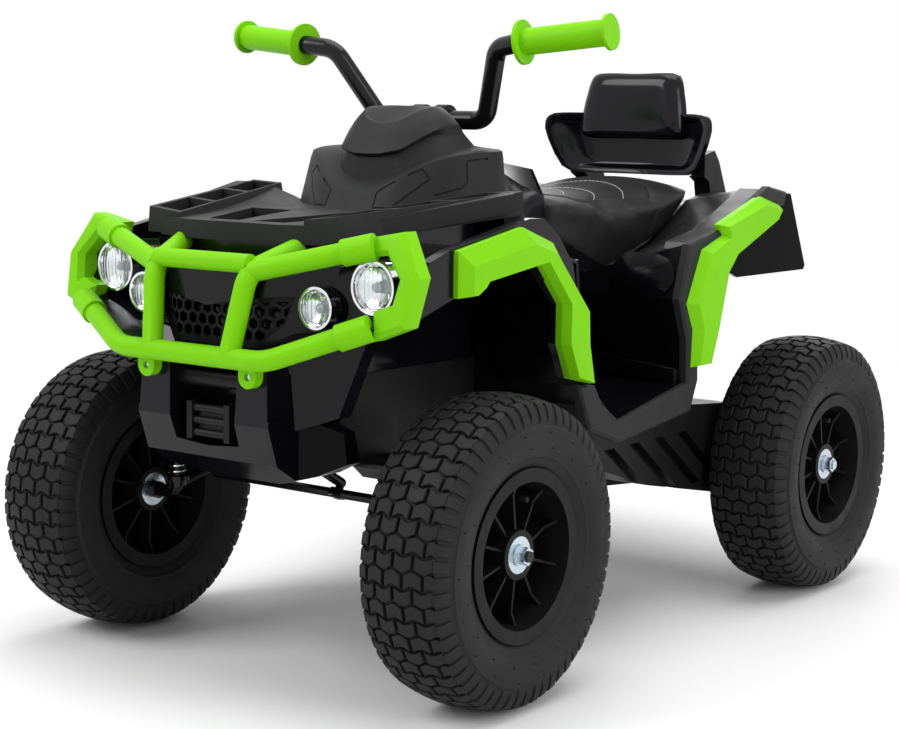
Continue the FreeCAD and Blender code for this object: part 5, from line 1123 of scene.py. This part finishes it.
# a thin closed tube along a line on the shell, to cut a panel gap with
def grooveTool(shell, line, sign, closed):
    data = startTube("groove", cowl["groove"])
    spline = data.splines.new("POLY")
    steps = cowl["grooveSteps"]
    dense = []
    ends = line[1:] + line[:1] if closed else line[1:]
    for a, b in zip(line, ends):
        dense += [Vector(a).lerp(Vector(b), i / steps) for i in range(steps)]
    spline.points.add(len(dense) - 1)
    for point, spot in zip(spline.points, dense):
        hit, near, normal, face = shell.closest_point_on_mesh(Vector((sign * spot.x, spot.y, spot.z)))
        point.co = (*near, 1)
    spline.use_cyclic_u = closed
    return meshFrom("groove", data)


def makeCowl():
    shell = cowlCage()
    closeUp(shell)
    refine(shell, cowl["levels"])
    thicken(shell, cowl["wall"], offset=-1.0)
    tools = [grooveTool(shell, cowl["vent"], sign, closed=True) for sign in (-1, 1)]
    tools += [grooveTool(shell, cowl["sideGap"], sign, closed=False) for sign in (-1, 1)]
    for tool in tools:
        cut = shell.modifiers.new("cut", "BOOLEAN")
        cut.operation = "DIFFERENCE"
        cut.solver = "EXACT"
        cut.object = tool
    applyAll(shell)
    for tool in tools:
        bpy.data.objects.remove(tool)
    smoothBy(shell, cowl["smooth"])
    finishPiece(shell, satinGrey, "chassis", "satin_grey", "steering_cowl")
    print("cowl made")


makeCowl()


# lamp shrouds: a black panel close behind the lamp rims on each side, folded forward to the bull bar

shroud = {
    "top": ((0.112, 0.446), (0.150, 0.462), (0.190, 0.468), (0.214, 0.455)),
    "fold": ((0.092, 0.388), (0.140, 0.390), (0.190, 0.404), (0.224, 0.425)),
    "tube": ((0.085, -0.508, 0.365), (0.125, -0.500, 0.371), (0.170, -0.481, 0.387),
             (0.207, -0.464, 0.401)),
    "foot": (0.124, -0.4345), "sweep": 0.25, "wall": 0.004, "edge": 0.0035, "edgeFrom": 35}


def lampShroud(sign):
    footX, footY = shroud["foot"]
    upright = shroud["top"] + shroud["fold"]        # both rows stand in one plane, swept back to the side
    places = [(x, footY + shroud["sweep"] * (x - footX), z) for x, z in upright] + list(shroud["tube"])
    bpy.ops.mesh.primitive_grid_add(x_subdivisions=len(shroud["tube"]) - 1, y_subdivisions=2)
    panel = bpy.context.active_object
    for vertex, (x, y, z) in zip(panel.data.vertices, places):
        vertex.co = (sign * x, y, z)
    thicken(panel, shroud["wall"], offset=0.0)
    closeUp(panel)
    softenEdges(panel, shroud["edge"], shroud["edgeFrom"], segments=3)
    return panel


def pressShrouds():
    both = joinAll([lampShroud(sign) for sign in (-1, 1)], "lamp_shrouds")
    smoothBy(both)
    finishPiece(both, glossBlack, "chassis", "gloss_black")
    print("lamp shrouds pressed")


pressShrouds()


# headlamps: a bright bowl with a bulb behind each ribbed glass

lampLook = {
    "faces": ((0.186, -0.4385, 0.439, 0.0245), (0.124, -0.4545, 0.415, 0.0190)),
    "bowl": 0.0112, "bowlDepth": 0.0055, "bowlWall": 0.0007, "bowlGap": 0.0035, "rings": 7, "sides": 48,
    "bulb": 0.0052, "bulbFront": 0.0035, "bulbFlat": 0.9, "bulbSides": 20, "bulbRings": 12,
    "lens": 0.0040, "lensWall": 0.0016, "crown": 0.0026, "ribPitch": 0.0058, "ribDepth": 0.0007,
    "across": 64, "upright": 24}


# a shallow bright bowl with a thin wall
def lampBowl(radius):
    shares = [i / lampLook["rings"] for i in range(lampLook["rings"] + 1)]
    inner = [(radius * share, lampLook["bowl"] - lampLook["bowlDepth"] * share ** 2) for share in shares]
    outer = [(r, depth + lampLook["bowlWall"]) for r, depth in reversed(inner)]
    profile = ringThrough([(r, depth, 0) for r, depth in inner + outer])
    return spinRound(profile, (0, 1, 0), lampLook["sides"])


def lampBulb():
    bpy.ops.mesh.primitive_uv_sphere_add(
        segments=lampLook["bulbSides"], ring_count=lampLook["bulbRings"], radius=lampLook["bulb"])
    bulb = bpy.context.active_object
    place = Matrix.Translation((0, lampLook["bowl"] - lampLook["bulbFront"], 0))
    bulb.data.transform(place @ Matrix.Diagonal((1, lampLook["bulbFlat"], 1, 1)))
    return bulb


def lampGlass(radius):
    bpy.ops.mesh.primitive_grid_add(
        x_subdivisions=lampLook["across"], y_subdivisions=lampLook["upright"], size=2)
    glass = bpy.context.active_object
    for vertex in glass.data.vertices:      # the square grid is pressed into a round one
        x, y = vertex.co.x, vertex.co.y
        u, v = x * math.sqrt(1 - y * y / 2) * radius, y * math.sqrt(1 - x * x / 2) * radius
        far = min(1.0, math.hypot(u, v) / radius)
        flute = lampLook["ribDepth"] * abs(math.sin(math.pi * u / lampLook["ribPitch"])) * (1 - far ** 4)
        vertex.co = (u, lampLook["lens"] - lampLook["crown"] * (1 - far * far) - flute, v)
    thicken(glass, lampLook["lensWall"], offset=1.0)
    closeUp(glass)
    return glass


def fitLamps():
    bowls, bulbs, glasses = [], [], []
    for x, y, z, radius in lampLook["faces"]:
        for side in (-1, 1):
            bowls.append(lampBowl(radius - lampLook["bowlGap"]))
            bulbs.append(lampBulb())
            glasses.append(lampGlass(radius))
            for made in (bowls[-1], bulbs[-1], glasses[-1]):
                made.data.transform(Matrix.Translation((side * x, y, z)))
    for shelf, name, material, slot, *stoodFor in (
            (bowls, "lamp_bowls", chrome, "chrome"), (bulbs, "lamp_bulbs", bulbGlass, "lens"),
            (glasses, "lamp_glasses", lensGlass, "lens", "headlight_lenses")):
        piece = joinAll(shelf, name)
        smoothBy(piece)
        finishPiece(piece, material, "chassis", slot, *stoodFor)
    print("lamps fitted")


fitLamps()


# small hardware: screws in the bull bar's tabs, and a valve in each rim

hardware = {
    "screwAt": (0.073, -0.4975, 0.344), "screwSides": 32, "screwHead": 0.0068, "screwRise": 0.0042,
    "screwRound": 0.0016, "socketRim": 0.0022, "socketDepth": 0.0016, "smooth": 35,
    "valveSides": 20, "valveRadius": 0.0034, "valveLength": 0.017, "valveEdge": 0.0008, "valveAt": 0.0585,
    "valveOut": 0.020, "valveTurn": 24}


def panScrew():
    bpy.ops.mesh.primitive_cylinder_add(
        vertices=hardware["screwSides"], radius=hardware["screwHead"], depth=hardware["screwRise"])
    screw = bpy.context.active_object
    editAll(screw)
    bpy.ops.mesh.select_all(action="DESELECT")
    leaveEdit()
    top = max(screw.data.polygons, key=lambda face: face.center.z)
    top.select = True
    pick(screw)
    bpy.ops.object.mode_set(mode="EDIT")
    bpy.ops.mesh.bevel(offset=hardware["screwRound"], segments=3, affect="EDGES")
    bpy.ops.mesh.inset(thickness=hardware["socketRim"])
    bpy.ops.mesh.extrude_region_move(TRANSFORM_OT_translate={"value": (0, 0, -hardware["socketDepth"])})
    leaveEdit()
    screw.data.transform(Matrix.Rotation(math.pi / 2, 4, "X"))
    closeUp(screw)
    return screw


def fitHardware():
    screws = []
    x, y, z = hardware["screwAt"]
    for side in (-1, 1):
        screw = panScrew()
        screw.data.transform(Matrix.Translation((side * x, y, z)))
        screws.append(screw)
    both = joinAll(screws, "bull_bar_screws")
    smoothBy(both, hardware["smooth"])
    finishPiece(both, zinc, "chassis", "zinc")
    for place, (x, y, _) in wheels.items():
        bpy.ops.mesh.primitive_cylinder_add(
            vertices=hardware["valveSides"], radius=hardware["valveRadius"], depth=hardware["valveLength"])
        valve = bpy.context.active_object
        valve.name = "valve_stem_" + place
        softenEdges(valve, hardware["valveEdge"])
        out = 1 if x > 0 else -1
        turned = Matrix.Rotation(math.radians(-out * hardware["valveTurn"]), 4, "X")
        shifted = Matrix.Translation((out * hardware["valveOut"], 0, hardware["valveAt"]))
        laid = Matrix.Rotation(math.pi / 2, 4, "Y")
        valve.data.transform(Matrix.Translation((x, y, tyre["radius"])) @ turned @ shifted @ laid)
        smoothBy(valve, hardware["smooth"])
        finishPiece(valve, tyreRubber, "wheel_" + place, "tyre_rubber")
    print("hardware fitted")


fitHardware()
